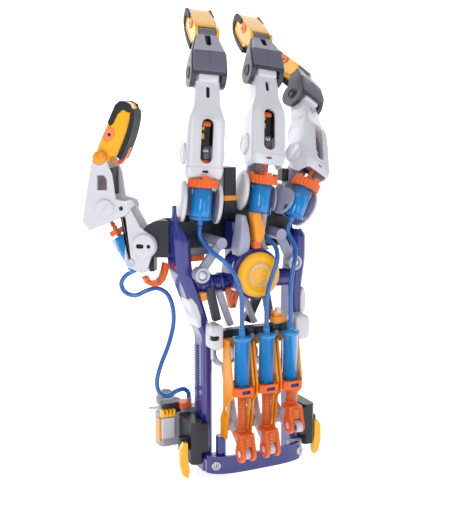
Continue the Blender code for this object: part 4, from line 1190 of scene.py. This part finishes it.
def plunger(name, x, fork_z):
    add = partial(piece, body="plunger_" + name)
    low, high = fork_z + 15, fork_z + PISTON_REACH - 5
    axis = (x, SYRINGE_Y, 0)
    core = [turned([(2.5, low), (2.5, high)], axis, (0, 0, 1), 28)]
    count = int((high - low - 3) / 2.1)
    for i in range(count):
        z = low + 2.6 + i * 2.1
        core.append(
            turned([(2.5, z), (3.35, z + 0.35), (3.35, z + 1.0), (2.5, z + 1.35)], axis, (0, 0, 1), 28)
        )
    fins = [
        block((x - 3.9, x + 3.9), (SYRINGE_Y - 0.5, SYRINGE_Y + 0.5), (low, high)),
        block((x - 0.5, x + 0.5), (SYRINGE_Y - 3.9, SYRINGE_Y + 3.9), (low, high))
    ]
    add("plunger_rod_" + name, "copper", core + fins, edge=0.0, stands_for=["plunger_" + name])
    head = [
        (4.6, high - 1), (5.1, high - 0.4), (5.1, high + 1), (4.6, high + 1.4), (4.6, high + 2.6),
        (5.1, high + 3), (5.1, high + 4.6), (0.4, high + 5)
    ]
    add("plunger_head_" + name, "deep", [turned(head, axis, (0, 0, 1))], edge=0.0)
    outline = arc((FORK_Y, fork_z), 7.5, 150, 390, 24) + [
        (FORK_Y + 3.4, fork_z + 15.2), (FORK_Y - 3.4, fork_z + 15.2)
    ]
    cheeks = [plate(outline, "X", *sorted((x + s * 3.4, x + s * 6.6))) for s in (-1, 1)]
    yoke = block((x - 6.6, x + 6.6), (FORK_Y - 3.4, SYRINGE_Y + 3.6), (fork_z + 13.8, fork_z + 17.2), 1)
    collar = turned([(4.4, fork_z + 17), (4.4, fork_z + 18.6), (3.6, fork_z + 19.4)], axis, (0, 0, 1))
    add("fork_" + name, "orange", cheeks + [yoke, collar], edge=0.6, segments=3)
    front = [block((x - 3.2, x + 3.2), (FORK_Y - 4.6, FORK_Y - 1.5), (fork_z + 6.4, fork_z + 15.4), 0.8)]
    front += [
        block((x - 3.4, x + 3.4), (FORK_Y - 5.2, FORK_Y - 3), (z, z + 1.3), 0.4)
        for z in (fork_z + 7.2 + i * 2.6 for i in range(3))
    ]
    add("fork_front_" + name, "copper", front, edge=0.3)
    rims = [
        hollow([(5.2, 0), (5.2, 0.5), (4.4, 0.6), (4.4, 0)], (x + s * 6.6, FORK_Y, fork_z), (s, 0, 0))
        for s in (-1, 1)
    ]
    add("fork_rims_" + name, "orange", rims, edge=0.0)
    pin = [
        turned(
            [
                (2.6, -6.9), (2.9, -6.5), (2.9, -3.5), (1.5, -3.4), (1.5, 3.4), (2.9, 3.5), (2.9, 6.5),
                (2.6, 6.9)
            ],
            (x, FORK_Y, fork_z), (1, 0, 0), 28
        )
    ]
    add("fork_pin_" + name, "white", pin, edge=0.0)


def lever_details(name):
    """Discs on the lever's axle and a soft sleeve in the ring that a finger goes through."""
    x = SYRINGE_X[name]
    place = turned_about_x(Matrix.Translation((x, -26, 26)), -LEVER_ANGLES[name])
    body = "lever_" + name
    discs = [
        turned([(4.6, 0), (4.6, 0.8), (3.6, 1.2), (0.2, 1.2)], (s * 6.4, 0, 0), (s, 0, 0))
        for s in (-1, 1)
    ]
    piece("lever_discs_" + name, "mist", discs, body=body, place=place, edge=0.0)
    a = math.radians(58)
    direction = Vector((0, math.sin(a), math.cos(a)))
    across = Vector((0, direction.z, -direction.y))
    centre = direction * 61
    ring = hollow(
        [
            (8.3, -3.6), (8.9, -4.4), (10.2, -4.4), (10.9, -3.4), (10.9, 3.4), (10.2, 4.4), (8.9, 4.4),
            (8.3, 3.6)
        ],
        centre, across, 48
    )
    piece("finger_loop_" + name, "pale", [ring], body=body, place=place, edge=0.0)


# ---------------------------------------------------------------- hoses

HOSE_RADIUS = 2.0
ROUTES = {
    "index": [
        (-53.9, -14.2, 188.4), (-48.6, -24.5, 178.5), (-41, -34, 170.5), (-34.6, -40, 159.5),
        (-30.6, -42, 147)
    ],
    "middle": [
        (1.4, -16, 189),
        (5.2, -24.5, 184.6),
        (6.6, -34, 179.6),
        (4.6, -40.6, 170.6),
        (-0.6, -42.2, 158),
        (-4.8, -42, 145),
    ],
    "ring": [(26, -21, 188.6), (27.8, -30.5, 176.5), (22.4, -37.1, 162), (17.9, -40.4, 148.5)],
    "thumb": [
        (-107.6, 34.8, 146.3),
        (-105.2, 33.4, 138.6),
        (-97.2, 29.2, 135.4),
        (-88.5, 25.4, 139.4),
        (-79.5, 23, 141.4),
        (-71, 21.2, 136.4),
        (-65.6, 21, 123.6),
        (-65.2, 21, 107.6),
        (-70, 21, 90),
        (-77.2, 21, 73),
        (-81, 21.8, 57.6),
        (-78.4, 22.6, 46.8),
        (-70.5, 23, 42.6),
        (-61.5, 23, 46.2),
        (-54, 23, 46.6),
        (-50.3, 23, 42.4),
        (-50, 23, 38.6),
    ],
}


def smooth(route, step):
    """Points about a step apart on a centripetal Catmull-Rom curve through the route."""
    points = [Vector(p) for p in route]
    points = [2 * points[0] - points[1]] + points + [2 * points[-1] - points[-2]]
    found = []
    for i in range(1, len(points) - 2):
        p = points[i - 1 : i + 3]
        t = [0.0]
        for a, b in zip(p, p[1:]):
            t.append(t[-1] + (b - a).length ** 0.5)
        parts = max(1, round((p[2] - p[1]).length / step))
        for k in range(parts):
            u = t[1] + (t[2] - t[1]) * k / parts
            a1 = p[0].lerp(p[1], (u - t[0]) / (t[1] - t[0]))
            a2 = p[1].lerp(p[2], (u - t[1]) / (t[2] - t[1]))
            a3 = p[2].lerp(p[3], (u - t[2]) / (t[3] - t[2]))
            b1 = a1.lerp(a2, (u - t[0]) / (t[2] - t[0]))
            b2 = a2.lerp(a3, (u - t[1]) / (t[3] - t[1]))
            found.append(b1.lerp(b2, (u - t[1]) / (t[2] - t[1])))
    return found + [points[-2]]


def hose(name, cylinder):
    """A free hose from a cylinder's nozzle to its syringe, a curve riding on the frame."""
    start = [cylinder @ Vector(p) for p in (NOZZLE if name in SYRINGE_X else THUMB_NOZZLE)]
    route = start + [Vector(p) for p in ROUTES[name]]
    if name in SYRINGE_X:
        top = BARREL_Z[1] + 6.9
        route += [Vector((SYRINGE_X[name], SYRINGE_Y, top + 12)), Vector((SYRINGE_X[name], SYRINGE_Y, top))]
    points = smooth(route, 3.0)
    curve = bpy.data.curves.new("hose_line_" + name, "CURVE")
    curve.dimensions = "3D"
    curve.bevel_depth = HOSE_RADIUS * MM
    curve.bevel_resolution = 6
    curve.use_fill_caps = True
    spline = curve.splines.new("POLY")
    spline.points.add(len(points) - 1)
    for target, point in zip(spline.points, points):
        target.co = (*(point * MM), 1)
    spline.use_smooth = True
    material, slot = PAINT["hose"]
    curve.materials.append(material)
    made = bpy.data.objects.new("hose_line_" + name, curve)
    bpy.context.scene.collection.objects.link(made)
    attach(made, "frame")
    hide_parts("hose_" + name)


# ---------------------------------------------------------------- stage


def sheet(name, corners, colour, roughness, glow):
    """A flat sheet of the studio, with a glow that keeps it near white."""
    mesh = bpy.data.meshes.new(name)
    mesh.from_pydata(corners, [], [(0, 1, 2, 3)])
    made = bpy.data.objects.new(name, mesh)
    bpy.context.scene.collection.objects.link(made)
    paint = bpy.data.materials.new("pale_" + name)
    paint.use_nodes = True
    shader = paint.node_tree.nodes["Principled BSDF"]
    shader.inputs["Base Color"].default_value = (*colour, 1)
    shader.inputs["Roughness"].default_value = roughness
    shader.inputs["Emission Color"].default_value = (1, 1, 1, 1)
    shader.inputs["Emission Strength"].default_value = glow
    mesh.materials.append(paint)


def stage():
    """A pale floor, a white backdrop, an even sky and five soft lamps."""
    h = FLOOR_HALF
    low = CAD_BOX[0].z - 0.0006
    floor = [(-h, -h, low), (h, -h, low), (h, h, low), (-h, h, low)]
    sheet("floor", floor, (0.93, 0.93, 0.94), 0.7, 0.6)
    wall = [(-h, WALL_Y, low), (h, WALL_Y, low), (h, WALL_Y, WALL_TOP), (-h, WALL_Y, WALL_TOP)]
    sheet("backdrop", wall, (0.9, 0.9, 0.9), 0.5, 0.9)
    world = bpy.data.worlds.new("studio")
    bpy.context.scene.world = world
    world.use_nodes = True
    background = world.node_tree.nodes["Background"]
    background.inputs["Color"].default_value = (1, 1, 1, 1)
    background.inputs["Strength"].default_value = WORLD_STRENGTH
    bpy.context.scene.view_settings.view_transform = "Standard"
    for name, at, power, wide, tall in (
        ("key", (-0.95, -1.25, 0.95), 7.5, 0.3, 1.2),
        ("strip", (0.25, -1.5, 0.45), 2.6, 0.1, 1.3),
        ("fill", (1.3, -0.5, 0.5), 1.6, 0.5, 1.2),
        ("top", (0.1, 0.1, 1.7), 2.4, 0.8, 0.8),
        ("rim", (-0.9, 1.2, 0.7), 4, 0.4, 1.2),
    ):
        lamp = bpy.data.lights.new(name, "AREA")
        lamp.shape = "RECTANGLE"
        lamp.size = wide
        lamp.size_y = tall
        lamp.energy = power
        holder = bpy.data.objects.new(name, lamp)
        bpy.context.scene.collection.objects.link(holder)
        holder.location = at
        holder.rotation_euler = (LIGHT_TARGET - Vector(at)).to_track_quat("-Z", "Y").to_euler()


def camera():
    azimuth, elevation = math.radians(CAMERA_AZIMUTH), math.radians(CAMERA_ELEVATION)
    level = math.cos(elevation)
    away = Vector((math.sin(azimuth) * level, -math.cos(azimuth) * level, math.sin(elevation)))
    data = bpy.data.cameras.new("camera")
    data.sensor_width = 36
    data.lens = CAMERA_LENS
    made = bpy.data.objects.new("camera", data)
    bpy.context.scene.collection.objects.link(made)
    made.location = CAMERA_TARGET + away * CAMERA_DISTANCE
    made.rotation_euler = (-away).to_track_quat("-Z", "Y").to_euler()
    bpy.context.scene.camera = made


camera()
for finger_name in NAMES:
    hose(finger_name, FINGERS[finger_name]["cylinder"])
hose("thumb", THUMB["cylinder"])
main_frame()
for finger_name in NAMES:
    finger(finger_name)
    syringe(finger_name)
thumb()
dial()
hub_details()
struts()
bridge()
stage()
